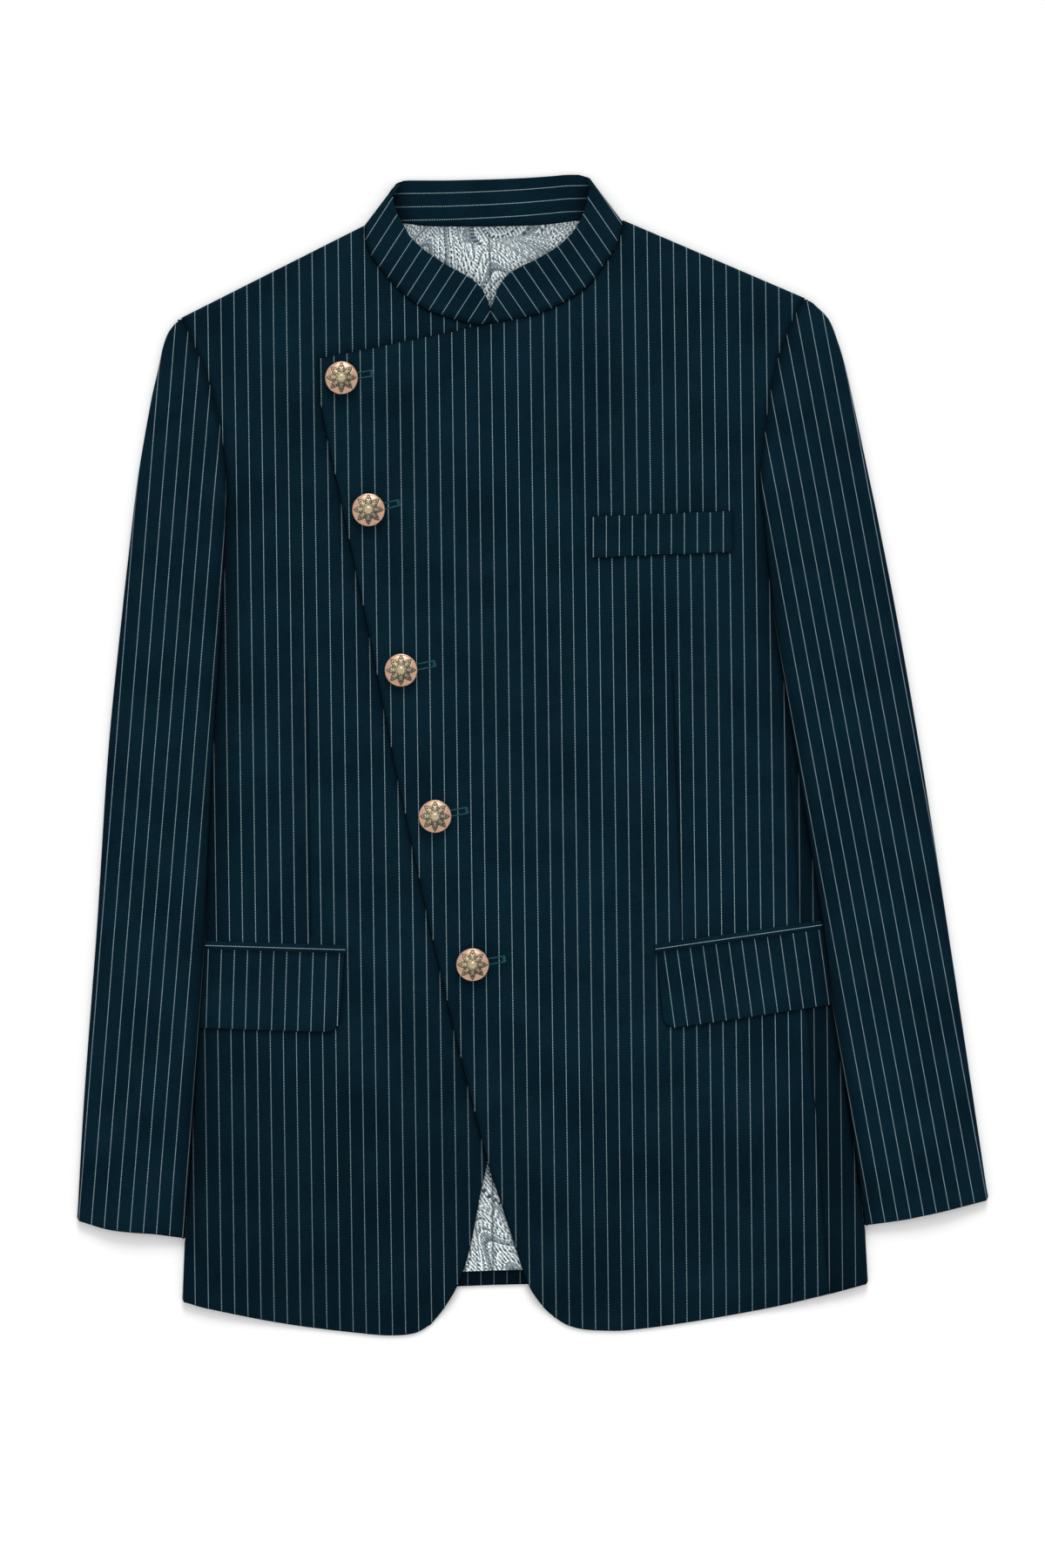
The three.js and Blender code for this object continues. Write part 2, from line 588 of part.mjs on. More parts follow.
// How high a sleeve's inner edge lies: it climbs onto the body above the cuff, and sinks into the armhole seam.
function sleeveLift(side, v, plan) {
  const [, y] = plan.inner(v);
  const cuff = SLEEVES[side].inner[0][1];
  const climb = ease((y - cuff) / CLIMB);
  const sink = 1 - ease((y - SLEEVES[side].seamShows[1]) / ARMHOLE_SINK_RUN);
  return SLEEVE_ON_BODY * climb * sink;
}

// Where a sleeve's inner lip starts to drop beside the body, and where it reaches the surface.
function lipRun(side, v, plan) {
  const [x, y] = plan.inner(v);
  const offBody = Math.abs(bodyEdge(side, y) - x) - 1;
  const start = Math.max(offBody, FOLD_RADIUS + 1);
  return { start, end: start + LIP_DROP, stop: start + LIP_DROP + LIP_FLAT };
}

const SLEEVE_ROWS = { below: 13, above: 9 };
const sleeveLevels = (plan) => [
  0,
  ...evenRows(SLEEVE_ROWS.below, 0, plan.seamShows).map((v, k) => (k === 0 ? v * 0.75 : v)),
  ...evenRows(SLEEVE_ROWS.above, plan.seamShows, 1),
];

function upperSleeve(side) {
  const plan = sleevePlan(side);
  const levels = sleeveLevels(plan);
  const topCols = 5;
  const outerTurn = FOLD_TURN + 1;
  const lipSteps = 4;
  const innerTurn = FOLD_TURN + lipSteps;
  const cuff = curve(plan.cuff);
  const section = (i) => {
    const v = levels[i];
    const lift = sleeveLift(side, v, plan);
    const { reach, wrap } = plan.outerFold(v);
    const outerFold = foldPoints({
      edge: plan.outer(v),
      inward: plan.rowAt(v),
      radius: FOLD_RADIUS,
      reach,
      turn: FOLD_TURN,
      stops: [wrap],
    });
    const folded = i <= SLEEVE_ROWS.below;
    const lip = lipRun(side, v, plan);
    const innerFold = foldPoints({
      edge: plan.inner(v),
      inward: [plan.out, 0],
      radius: FOLD_RADIUS,
      lift,
      turn: FOLD_TURN,
      stops: [lip.start, lip.start + LIP_DROP / 2, lip.end, lip.stop],
      under: (run) => lift * ease((lip.end - run) / LIP_DROP),
    });
    if (!folded) innerFold[0] = [...plan.inner(v), FOLD_RADIUS * 2 + lift];
    const a = outerFold[0];
    const b = innerFold[0];
    const wide = Math.hypot(b[0] - a[0], b[1] - a[1]);
    const top = [];
    for (let k = 0; k <= topCols; k++) {
      const t = k / topCols;
      const swell = Math.min(SLEEVE_SWELL, wide * SLEEVE_SWELL_SHARE) * Math.sin(Math.PI * t);
      const rise = lift * ease(1 - ((1 - t) * wide) / SLEEVE_RISE_RUN);
      const [x, y] = mixPoint(a, b, t);
      const bow = i === 0 ? cuff(t)[1] - mixPoint(plan.cuff[0], plan.cuff.at(-1), t)[1] : 0;
      top.push([x, y + bow, FOLD_RADIUS * 2 + swell + rise]);
    }
    return [...outerFold.slice(1).reverse(), ...top, ...innerFold.slice(1)];
  };
  const sections = levels.map((_, i) => (plan.out < 0 ? section(i) : section(i).reverse()));
  const cols = sections[0].length - 1;
  const onInner = (j) => (plan.out < 0 ? j >= outerTurn + topCols : j < innerTurn);
  return clothWall({
    rows: levels.length - 1,
    cols,
    thick: SHELL_CLOTH,
    live: (i, j) => !onInner(j) || i < SLEEVE_ROWS.below,
    at: (i, j) => sections[i][j],
  });
}

// A sleeve's under piece: flat on the surface between the upper piece's two turned edges.
function underSleeve(side) {
  const plan = sleevePlan(side);
  const levels = sleeveLevels(plan).slice(0, -2);
  const cols = 2;
  return clothWall({
    rows: levels.length - 1,
    cols,
    thick: UNDER_SLEEVE_CLOTH,
    at: (i, j) => {
      const v = levels[i];
      const outerSeam = away(plan.outer(v), plan.rowAt(v), SLEEVE_WRAP + SEAM_GAP);
      const onBody = i <= SLEEVE_ROWS.below;
      const innerRun = onBody ? lipRun(side, v, plan).stop + SEAM_GAP : 0;
      const innerSeam = away(plan.inner(v), [plan.out, 0], innerRun);
      const t = plan.out < 0 ? j / cols : 1 - j / cols;
      const [x, y] = mixPoint(outerSeam, innerSeam, t);
      return [x, i === 0 ? y + CUFF_STEP : y, UNDER_SLEEVE_CLOTH];
    },
  });
}

// The stand collar: one band pressed flat, its front arms over its back, with a fold at each shoulder.
function collar() {
  const across = 3;
  const foldColumns = ({ base, top }, towards) => {
    const [fx, fy] = unit([top[0] - base[0], top[1] - base[1]]);
    const shape = { inward: [towards * fy, -towards * fx], radius: COLLAR_FOLD_RADIUS, turn: 6, stops: [] };
    const low = foldPoints({ edge: base, ...shape });
    const high = foldPoints({ edge: top, ...shape });
    return low.map((p, k) => [p, high[k]]);
  };
  const armTop = 2 * COLLAR_FOLD_RADIUS;
  const flat = (rows, z) => rows.map(({ base, top }) => [[...base, z], [...top, z]]);
  const columns = [
    ...flat(COLLAR_ARM_RIGHT, armTop),
    ...foldColumns(COLLAR_FOLD_RIGHT, 1),
    ...flat(COLLAR_BACK, 0),
    ...foldColumns(COLLAR_FOLD_LEFT, -1).reverse(),
    ...flat(COLLAR_ARM_LEFT, armTop),
  ];
  return clothWall({
    rows: columns.length - 1,
    cols: across,
    thick: COLLAR_CLOTH,
    at: (i, j) => columns[i][0].map((value, axis) => mix(value, columns[i][1][axis], j / across)),
  });
}

// A piece that lies on a front: plan gives its points, and its face follows the panel's, moved out.
function onPanel({ rows, cols, plan, face, thick }) {
  return clothWall({
    rows,
    cols,
    thick,
    at: (i, j) => {
      const [x, y] = plan(i / rows, j / cols);
      return [x, y, face(x, y) + ON_PANEL_GAP + thick];
    },
  });
}

// Along a pocket: s runs from the front corner to the side, t from the top edge downwards.
function pocketPlace({ corner, tilt, out }, s, t) {
  const angle = THREE.MathUtils.degToRad(tilt);
  const along = [out * Math.cos(angle), out * Math.sin(angle)];
  const down = [Math.sin(angle), -Math.cos(angle)];
  return away(away(corner, along, s), down, t);
}

// A pocket piece runs on until it reaches the sleeve that lies over its end.
function runToSleeve(side, flap, t) {
  let run = 60;
  const clear = 0.3;
  for (let step = 0; step < 24; step++) {
    const [x, y] = pocketPlace(flap, run, t);
    run += flap.out * (sleeveInner[side](y) - x) - clear;
  }
  return run;
}

function pocketFlap(side) {
  const flap = FLAPS[side];
  const face = side === "left" ? overlapFace : frontFace;
  const round = 3;
  const cols = round + 6;
  return onPanel({
    rows: 3,
    cols,
    face,
    thick: POCKET_CLOTH,
    plan: (v, u) => {
      const station = Math.round((flap.out < 0 ? 1 - u : u) * cols);
      const turn = (Math.PI / 2) * Math.min(1, station / round);
      const t = mix(flap.depth - FLAP_ROUND * (1 - Math.sin(turn)), 0, v);
      const rest = Math.max(0, station - round) / (cols - round);
      const front = FLAP_ROUND * (1 - Math.cos(turn)) + (flap.lean * t) / flap.depth;
      return pocketPlace(flap, mix(front, runToSleeve(side, flap, t), rest), t);
    },
  });
}

function pocketJet(side) {
  const flap = FLAPS[side];
  const face = side === "left" ? overlapFace : frontFace;
  return onPanel({
    rows: 1,
    cols: 8,
    face,
    thick: JET_CLOTH,
    plan: (v, u) => {
      const share = flap.out < 0 ? 1 - u : u;
      const t = mix(-SEAM_GAP, -JET_DEPTH, v);
      return pocketPlace(flap, mix(-1, runToSleeve(side, flap, t), share), t);
    },
  });
}

function breastWelt() {
  const angle = THREE.MathUtils.degToRad(WELT.tilt);
  return onPanel({
    rows: 2,
    cols: 6,
    face: overlapFace,
    thick: POCKET_CLOTH,
    plan: (v, u) => {
      const foot = away(WELT.corner, [Math.cos(angle), Math.sin(angle)], u * WELT.width);
      return [foot[0], foot[1] + v * WELT.depth];
    },
  });
}

// A button: a shank stub, a rounded rim and a low dome, turned about its own axis.
function button() {
  const { radius, shankRadius, shankHeight, rim, dome } = BUTTON;
  const profile = [
    [0, 0], [shankRadius, 0], [shankRadius, shankHeight], [radius - 1.2, shankHeight], [radius, shankHeight + rim / 2],
    [radius - 0.5, shankHeight + rim], [radius * 0.62, shankHeight + rim + dome * 0.62], [0, shankHeight + rim + dome],
  ];
  return new THREE.LatheGeometry(profile.map(([x, y]) => new THREE.Vector2(x, y)), 18).rotateX(Math.PI / 2);
}

const BACK_SHELL = { base: 0, thick: BACK_CLOTH, inset: 0, hemRise: 0 };
const BACK_LINING = { base: LINING_BASE, thick: LINING_CLOTH, inset: 0.5, hemRise: LINING_HEM_RISE };

addPiece("front_right", rightFront(), TEAL);
addPiece("front_left", leftFront(), TEAL);
addPiece("side_left", leftSide(), TEAL);
addPiece("collar", collar(), TEAL);
for (const side of ["right", "left"]) {
  addPiece("back_" + side, backHalf(side, BACK_SHELL), TEAL);
  addPiece("lining_" + side, backHalf(side, BACK_LINING), PALE_LINING);
  addPiece("upper_sleeve_" + side, upperSleeve(side), TEAL);
  addPiece("under_sleeve_" + side, underSleeve(side), TEAL);
  addPiece("flap_" + side, pocketFlap(side), TEAL);
  addPiece("jet_" + side, pocketJet(side), TEAL);
}
addPiece("welt_breast", breastWelt(), TEAL);
BUTTON_PLACES.forEach(([x, y], k) => {
  const mesh = addPiece("button_" + (k + 1), button(), OLD_BRASS);
  mesh.position.set(x, y, overlapFace(x, y) + ON_PANEL_GAP);
});

export default jacket;
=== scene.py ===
"""Looks of a bandhgala jacket laid flat: pinstriped teal suiting, a jacquard lining, brass buttons.

Sizes are in millimetres in the tables, as in the part's source, and become metres when a mesh is made.
+X is the wearer's left, +Y runs to the collar and +Z up from the surface that the jacket lies on.
"""
import math

import bpy
import numpy as np
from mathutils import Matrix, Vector


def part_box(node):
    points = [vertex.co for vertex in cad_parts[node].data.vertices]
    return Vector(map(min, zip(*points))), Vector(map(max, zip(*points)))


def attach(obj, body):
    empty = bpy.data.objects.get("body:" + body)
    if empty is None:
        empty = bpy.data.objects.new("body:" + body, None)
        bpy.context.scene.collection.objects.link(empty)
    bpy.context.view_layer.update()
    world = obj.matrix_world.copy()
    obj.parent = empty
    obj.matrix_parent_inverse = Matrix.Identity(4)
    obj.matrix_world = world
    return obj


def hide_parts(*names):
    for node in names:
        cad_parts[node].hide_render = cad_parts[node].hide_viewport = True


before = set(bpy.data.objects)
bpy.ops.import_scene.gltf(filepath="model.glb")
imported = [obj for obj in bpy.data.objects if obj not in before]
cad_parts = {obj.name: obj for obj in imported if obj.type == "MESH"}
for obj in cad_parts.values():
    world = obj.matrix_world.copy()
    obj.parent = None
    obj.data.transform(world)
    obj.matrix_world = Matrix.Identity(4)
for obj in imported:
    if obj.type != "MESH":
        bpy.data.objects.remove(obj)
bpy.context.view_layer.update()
MM = 0.001

# Walls and heights of the laid stack.
SHELL_CLOTH = 2.0
BACK_CLOTH = 1.5
LINING_CLOTH = 1.0
UNDER_SLEEVE_CLOTH = 1.6
COLLAR_CLOTH = 3.0
POCKET_CLOTH = 1.6
JET_CLOTH = 1.2
LAYER_GAP = 0.3
SEAM_GAP = 0.12
ON_PANEL_GAP = 0.3
LINING_BASE = BACK_CLOTH + LAYER_GAP
FRONT_BASE = LINING_BASE + LINING_CLOTH + LAYER_GAP
FRONT_TOP = FRONT_BASE + SHELL_CLOTH
FOLD_RADIUS = FRONT_TOP / 2
OVERLAP_RISE = SHELL_CLOTH + 0.5
SLEEVE_ON_BODY = FRONT_TOP + 0.45
COLLAR_FOLD_RADIUS = 3.2

# Soft forms: how high the cloth swells, and over which runs it rises, settles and turns under.
CHEST_SWELL = 2.6
SWELL_REACH = {"side": 80, "shoulder": 70, "neck": 60, "hem": 150}
SLEEVE_SWELL = 2.0
SLEEVE_SWELL_SHARE = 0.03
SLEEVE_RISE_RUN = 38
ARMHOLE_SINK_RUN = 50
SETTLE_RUN = 22
SETTLE_SIDE_RUN = 30
OVERLAP_RUN = 28
HEM_LEVEL = -385
NECK_RING = {"middle": (-27, 372), "reach": (90, 70), "size": 75}
SIDE_WRAP = 20
SLEEVE_WRAP = 12
LIP_DROP = 16
LIP_FLAT = 4
CUFF_STEP = 1.5
CLIMB = 45
UNDERARM_LEVEL = 133
CORNER_ROUND = 2.0
UNDER_FOLD = 8
OVER_SHOULDER = 7
# Waves of cloth smoothed by hand: cycles for each millimetre across and along, phase and height.
LAY_WAVES = [
    (0.0113, 0.0041, 0.4, 0.22), (-0.0062, 0.0127, 1.9, 0.2), (0.0201, -0.0088, 4.1, 0.1),
    (0.0049, 0.0231, 2.6, 0.08),
]

# Rims: how far they bulge, as a share of the cloth and at most, and the least painted shade on them, which
# draws a dark outline round each piece.
RIM_BULGE = 0.42
RIM_BULGE_MOST = 0.75
RIM_PAINTED_SHADE = 0.9
# The broad shade on the fronts deepens over this run, and the back's strip at the hem lies in shade.
SHADE_RUN = 190
BACK_SHADE = 0.62

# Steps round a fold and round a rim, columns of the collar and sleeves, cells along an edge, and the
# shares of a piece's rows at the underarm, at the top of a sleeve's seam and beside its cuff.
FOLD_TURN = 12
RIM_STEPS = 3
COLLAR_TURN = 16
COLLAR_ARM_COLUMNS = 64
COLLAR_BACK_COLUMNS = 48
SLEEVE_COLUMNS = 27
SHELL_CELL = 4.5
FRONT_CELL = 3.8
POCKET_CELL = 3.4
UNDERARM_SHARE = 0.745
SLEEVE_SHOWS_SHARE = 0.74
CUFF_SHARE = 0.03

# The pinstripe: rows of pin dots.
STRIPE_PITCH = 9.17

RIGHT_HEM = [
    (-242.2, -381.6), (-226.3, -386.1), (-171.4, -397.1), (-116.5, -403.8), (-98, -405), (-82, -403.3),
    (-71.2, -397.7),
]
RIGHT_FRONT_EDGE = [
    (-71.2, -397.7), (-60.5, -384), (-50.5, -365), (-42.9, -338.6), (-36.6, -305), (-32, -283),
    (-27, -200), (-23, -80), (-22, 150), (-24.5, 301.4),
]
RIGHT_SHOULDER = [(-245.4, 306.7), (-117.35, 371.3)]
RIGHT_SHOULDER_SEAM = [(-239.2, 295.6), (-117.2, 360.6)]
RIGHT_NECK = [
    (-117, 368.9), (-116, 357.5), (-112.25, 348.9), (-100.4, 333.7), (-87, 320.6),
    (-71.5, 310.8), (-53.8, 305.1), (-37.4, 301.4), (-24.5, 301.4),
]
RIGHT_ARMHOLE = [
    (-226.3, 133), (-217.8, 154.3), (-213.3, 174.2), (-213.4, 186), (-214.4, 201.5),
    (-219, 236.1), (-226.9, 264.7), (-239.1, 293.7), (-244.4, 304.6),
]
LEFT_HEM = [
    (15.9, -392.8), (24.6, -397.7), (34.5, -400.5), (48, -401.6), (66.5, -401.4), (112.2, -395.3),
    (167.1, -385.5), (208, -375.8),
]
LEFT_FRONT_EDGE = [
    (15.9, -392.8), (7.3, -384.2), (-2, -369.5), (-14, -333.9), (-21.2, -311.9), (-30.7, -282.4),
    (-59.7, -167.8), (-93.6, -15.2), (-112, 78.1), (-133, 178.1), (-143, 224.2), (-147.7, 250), (-148.6, 277),
]
LEFT_TOP_EDGE = [(-148.6, 277), (-43.3, 298.6), (-29.3, 301.6)]
LEFT_NECK = [
    (-29.3, 301.6), (-13, 304.2), (5.6, 309.7), (22.6, 317.4), (38.3, 327.7), (50.2, 342.5),
    (57.9, 354), (62, 364), (63.7, 372.4),
]
LEFT_SHOULDER = [(63.9, 374.9), (190.6, 320.6)]
LEFT_SHOULDER_SEAM = [(63.7, 364), (184.9, 309.8)]
LEFT_SIDE_SEAM = [
    (208, -375.8), (203.7, -324.5), (198.9, -257.4), (192.8, -184.2), (187.3, -108), (181.2, -19.5),
    (175.7, 65.9), (169, 152.5),
]
LEFT_ARMHOLE = [
    (181.2, 133), (169, 152.8), (160.8, 175.3), (159.4, 190), (160.2, 204), (166.5, 253.2),
    (171.1, 275.9), (183, 306.8), (189.5, 318.6),
]
SLEEVES = {
    "right": {
        "out": -1,
        "armhole": RIGHT_ARMHOLE,
        "outer": [
            (-318.4, -324.5), (-313.5, -239.1), (-304.4, -117.1), (-296.5, 4.9), (-286.7, 102.5),
            (-278.6, 174),
        ],
        "head": [
            (-278.6, 174), (-275.1, 200.1), (-266.6, 248.9), (-261.1, 273.3), (-258.4, 286), (-254.8, 296),
            (-250.6, 301.8),
        ],
        "inner": [
            (-242.5, -336.7), (-236.9, -252.5), (-232.4, -190.3), (-228.8, -133), (-223.9, -19.5),
            (-220.2, 41.5), (-215.9, 102.5), (-213.3, 174.2),
        ],
        "cuff": [(-318.4, -324.5), (-299.5, -330), (-281.2, -332.4), (-262.9, -333.9), (-242.5, -336.7)],
        "seam_shows": (-213.3, 174.2),
        "overlap": 12,
    },
    "left": {
        "out": 1,
        "armhole": LEFT_ARMHOLE,
        "outer": [(319.2, -310), (308.7, -239.1), (290.4, -117.1), (271.4, 4.9), (254.4, 102.5), (241, 171)],
        "head": [
            (241, 171), (234.8, 200.1), (224.5, 248.9), (219, 273.3), (214.3, 289), (207.6, 305.6),
            (196.6, 317),
        ],
        "inner": [
            (232.4, -327.6), (227.3, -286.4), (220.6, -242.2), (211.7, -190.3), (202.9, -118), (185.8, -9.8),
            (168.8, 97.6), (160.8, 172),
        ],
        "cuff": [(319.2, -310), (295.2, -316), (276.9, -320.2), (258.6, -323.9), (232.4, -327.6)],
        "seam_shows": (160.8, 172),
        "overlap": 17.6,
    },
}
BODY_BELOW_CUFF = {"right": [(-381, -244.8), (-336.7, -242.95)], "left": [(-369, 235.1), (-327.6, 232.85)]}
BACK_HEM = [(-224, -381.5), (-29.3, -369.7), (214, -367.5)]
BACK_LAYERS = {
    "back": {"base": 0, "thick": BACK_CLOTH, "inset": 0, "hem_rise": 0},
    "lining": {"base": LINING_BASE, "thick": LINING_CLOTH, "inset": 0.5, "hem_rise": 10},
}
BACK_NECK = [(-108, 371.4), (-91.5, 372.9), (-74.4, 371), (-30, 370.3), (7, 371.8), (35, 375), (54, 374.3)]
BACK_NECK_CORNER = {"right": (-116.8, 360.1), "left": (63.3, 363.5)}
CENTRE_BACK = [(-27.4, -370), (-28.7, 311), (-30.2, 370.2)]

# The collar: base point and top point of each column.
COLLAR_ARM_RIGHT = [
    ((-29.15, 302.1), (-29.15, 312)), ((-33, 301.8), (-31.8, 319.5)), ((-38.5, 301.9), (-36.3, 327.5)),
    ((-47, 303.8), (-44.5, 334.4)), ((-58, 306.8), (-55.5, 340.5)), ((-71.4, 311.2), (-66.5, 347)),
    ((-84.5, 319), (-77, 354.5)), ((-95.5, 328.9), (-85.5, 362.8)), ((-104.5, 338.9), (-91.4, 373.1)),
    ((-112, 349.2), (-95.8, 382.7)), ((-115.9, 359.3), (-97.5, 391)), ((-116.8, 364.5), (-95.6, 394.6)),
]
COLLAR_FOLD_RIGHT = ((-116.9, 371.6), (-93.9, 402))
COLLAR_BACK = [
    ((-108, 372), (-87, 402.2)), ((-91.5, 373.3), (-76, 402.2)), ((-70, 371.3), (-60, 402.2)),
    ((-48, 370.8), (-42, 402.6)), ((-28, 370.7), (-25, 403.1)), ((-5, 371.6), (-6, 403.9)),
    ((18, 373.3), (12, 405.1)), ((35, 375.4), (24, 406.1)), ((52, 374.9), (32.5, 406.2)),
]
COLLAR_FOLD_LEFT = ((63.2, 374), (40.3, 404.4))
COLLAR_ARM_LEFT = [
    ((62.9, 368.3), (40.8, 398)), ((61.6, 364.6), (39.6, 394)), ((57.4, 355), (38, 386)),
    ((50, 343.4), (34.3, 375.3)), ((42, 332), (29, 366.5)), ((32.5, 324), (21.5, 358.6)),
    ((21, 317.2), (12.5, 352.2)), ((9.5, 311.6), (1.5, 346)), ((-2, 307.7), (-10, 340.5)),
    ((-11, 305.2), (-18.3, 334.6)), ((-19, 303.4), (-23.6, 326.5)), ((-24.5, 302.6), (-26.2, 318.5)),
    ((-28.95, 302.1), (-28.95, 312)),
]
FLAPS = {
    "left": {"corner": (87.4, -137.6), "tilt": 8.2, "depth": 53, "lean": -2.5, "out": 1},
    "right": {"corner": (-131.4, -138.2), "tilt": -1.7, "depth": 54.5, "lean": 2, "out": -1},
}
FLAP_ROUND = 9
JET_DEPTH = 6
WELT = {"corner": (42.7, 138.9), "tilt": 2.3, "width": 97, "depth": 28}
BUTTON_PLACES = [(-132.9, 263.6), (-114.1, 171.6), (-91.4, 59.8), (-67.7, -42.1), (-41.5, -145.5)]
BUTTON_RADIUS = 11.5
BUTTONHOLE_ENDS = [(-111.3, 267.2), (-92.8, 176.9), (-67.7, 64.7), (-45.1, -37.8), (-18.9, -141.5)]
BUTTONHOLE_HALF_WIDTH = 2.0
# Darts: the line of each, from the waist end to the pocket.
DARTS = {"left": [(98.2, 59.8), (104.9, -126.3)], "right": [(-157.4, 62.8), (-154.9, -129.3)]}

# How each piece's stripes lie: a point on one stripe, their tilt, and their pitch in STRIPE_PITCH.
GRAIN = {
    "front_right": {"through": (-148.8, -19.5), "tilt": 0.79, "pitch": 1.0},
    "front_left": {"through": (-23.8, -80.5), "tilt": 0.74, "pitch": 0.999},
    "side_left": {"through": (216.6, -312.3), "tilt": 0.5, "pitch": 1.0},
    "back": {"through": (-26.7, -364.8), "tilt": 0.0, "pitch": 0.998},
    "sleeve_right": {"through": (-279.1, 41.5), "tilt": -4.5, "pitch": 1.001},
    "sleeve_left": {"through": (215.8, 41.5), "tilt": 10.5, "pitch": 0.995},
    "collar_right": {"through": (-63.4, 325.3), "tilt": -32.8, "pitch": 0.995},
    "collar_left": {"through": (6.1, 324.65), "tilt": 34.3, "pitch": 1.0},
    "flap_left": {"through": (96.3, -165.1), "tilt": 7.8, "pitch": 0.991},
    "flap_right": {"through": (-217.8, -160.1), "tilt": -1.7, "pitch": 1.0},
    "welt": {"through": (51.85, 152.8), "tilt": 0.0, "pitch": 0.99},
    "lining": {"through": (-28.7, 0), "tilt": 0.0, "pitch": 1.0},
}
BAND_PITCH = 9.4

# The camera looks straight down; at the surface the picture is PICTURE_HEIGHT metres high.
SENSOR = 36
CAMERA_HEIGHT = 3.0
PICTURE_HEIGHT = 1.098
CAMERA_PLACE = (-0.0067, -0.0195)


def ease(t):
    """A smooth step from nothing to one."""
    t = np.clip(t, 0, 1)
    return t * t * (3 - 2 * t)


def mix(a, b, t):
    return a + (b - a) * t


def unit(v):
    v = np.asarray(v, float)
    return v / np.maximum(np.linalg.norm(v, axis=-1, keepdims=True), 1e-12)


def curve(points):
    """A smooth line through a few points, as a function of the share of its length."""
    p = np.array(points, float)
    run = np.concatenate([[0], np.cumsum(np.linalg.norm(np.diff(p, axis=0), axis=1))])
    before = np.maximum(np.arange(len(p)) - 1, 0)
    after = np.minimum(np.arange(len(p)) + 1, len(p) - 1)
    slope = (p[after] - p[before]) / (run[after] - run[before])[:, None]

    def at(s):
        d = np.clip(np.asarray(s, float), 0, 1) * run[-1]
        k = np.clip(np.searchsorted(run, d, side="right") - 1, 0, len(p) - 2)
        span = (run[k + 1] - run[k])[..., None]
        t = (d - run[k])[..., None] / span
        start = p[k] * (2 * t**3 - 3 * t**2 + 1) + slope[k] * span * (t**3 - 2 * t**2 + t)
        return start + p[k + 1] * (-2 * t**3 + 3 * t**2) + slope[k + 1] * span * (t**3 - t**2)

    return at


def joined(parts, stops):
    """Several lines end to end: part k holds the shares from stops[k] to stops[k + 1]."""

    def at(s):
        s = np.asarray(s, float)
        k = np.searchsorted(np.array(stops[1:-1]), s - 1e-9, side="left")
        out = np.zeros(s.shape + (2,))
        for n, part in enumerate(parts):
            here = k == n
            out[here] = part((s[here] - stops[n]) / (stops[n + 1] - stops[n]))
        return out

    return at


def level_x(points):
    """The x of a line of points at a level y."""
    fine = curve(points)(np.linspace(0, 1, 400))
    return lambda y: np.interp(y, fine[:, 1], fine[:, 0])


def patch(bottom, top, left, right, hold=(1, 1)):
    """A sheet in plan between four edges, for arrays of shares u across and v along.

    The higher a hold, the closer the bends of the left (or right) edge stay to that edge.
    """

    def at(u, v):
        low, high, start, end = bottom(u)[None], top(u)[None], left(v)[:, None], right(v)[:, None]
        uu, vv = u[None, :, None], v[:, None, None]
        left_bend = start - (1 - vv) * low[:, :1] - vv * high[:, :1]
        right_bend = end - (1 - vv) * low[:, -1:] - vv * high[:, -1:]
        return (1 - vv) * low + vv * high + (1 - uu) ** hold[0] * left_bend + uu ** hold[1] * right_bend

    return at


def shares(length, cell, start=0.0, end=1.0, fine=(True, True)):
    """Shares along a line of that length: even cells, with finer ones where an edge is fine."""
    close = [c for c in (0.7, 1.7, 3.2, 5.4) if c < length / 4]
    low = close if fine[0] else []
    high = close if fine[1] else []
    first, last = (low[-1] if low else 0), length - (high[-1] if high else 0)
    count = max(2, round((last - first) / cell))
    middle = np.linspace(first, last, count + 1)
    before = [0] + low[:-1] if low else []
    after = [length - c for c in high[-2::-1]] + [length] if high else []
    return start + (end - start) * np.concatenate([before, middle, after]) / length


def stretches(lengths, stops, cells, fine=(True, True)):
    """Shares along stretches end to end, from stops[k] to stops[k + 1]; fine is for the outer two edges."""
    cells = np.broadcast_to(cells, len(lengths))
    parts = []
    for k, length in enumerate(lengths):
        ends = (fine[0] and k == 0, fine[1] and k == len(lengths) - 1)
        parts.append(shares(length, cells[k], stops[k], stops[k + 1], ends)[min(k, 1) :])
    return np.concatenate(parts)


LAP_EDGE = LEFT_FRONT_EDGE[3:] + LEFT_TOP_EDGE[1:]

sleeve_inner = {side: level_x(s["inner"]) for side, s in SLEEVES.items()}
armhole_x = {"right": level_x(RIGHT_ARMHOLE), "left": level_x(LEFT_ARMHOLE)}
underlap_x = level_x(RIGHT_FRONT_EDGE)


def body_edge(side, y):
    """The outer edge of the laid body at a level: its side, and above the underarm its armhole."""
    y = np.asarray(y, float)
    foot, cuff = BODY_BELOW_CUFF[side]
    sleeve = SLEEVES[side]
    climbed = ease((y - cuff[0] - CLIMB) / (UNDERARM_LEVEL - cuff[0] - CLIMB))
    # At the underarm the edge meets the armhole.
    gap = armhole_x[side](UNDERARM_LEVEL) - sleeve_inner[side](UNDERARM_LEVEL)
    meeting = sleeve["out"] * gap - sleeve["overlap"]
    tucked = mix(0.7 * ease((y - cuff[0] - 15) / 25) - SEAM_GAP, meeting, climbed)
    under_sleeve_x = sleeve_inner[side](y) + sleeve["out"] * (sleeve["overlap"] * climbed + tucked)
    below = mix(foot[1], cuff[1], (y - foot[0]) / (cuff[0] - foot[0]))
    beside = np.where(y <= cuff[0], below, under_sleeve_x)
    return np.where(y >= UNDERARM_LEVEL, armhole_x[side](y), beside)


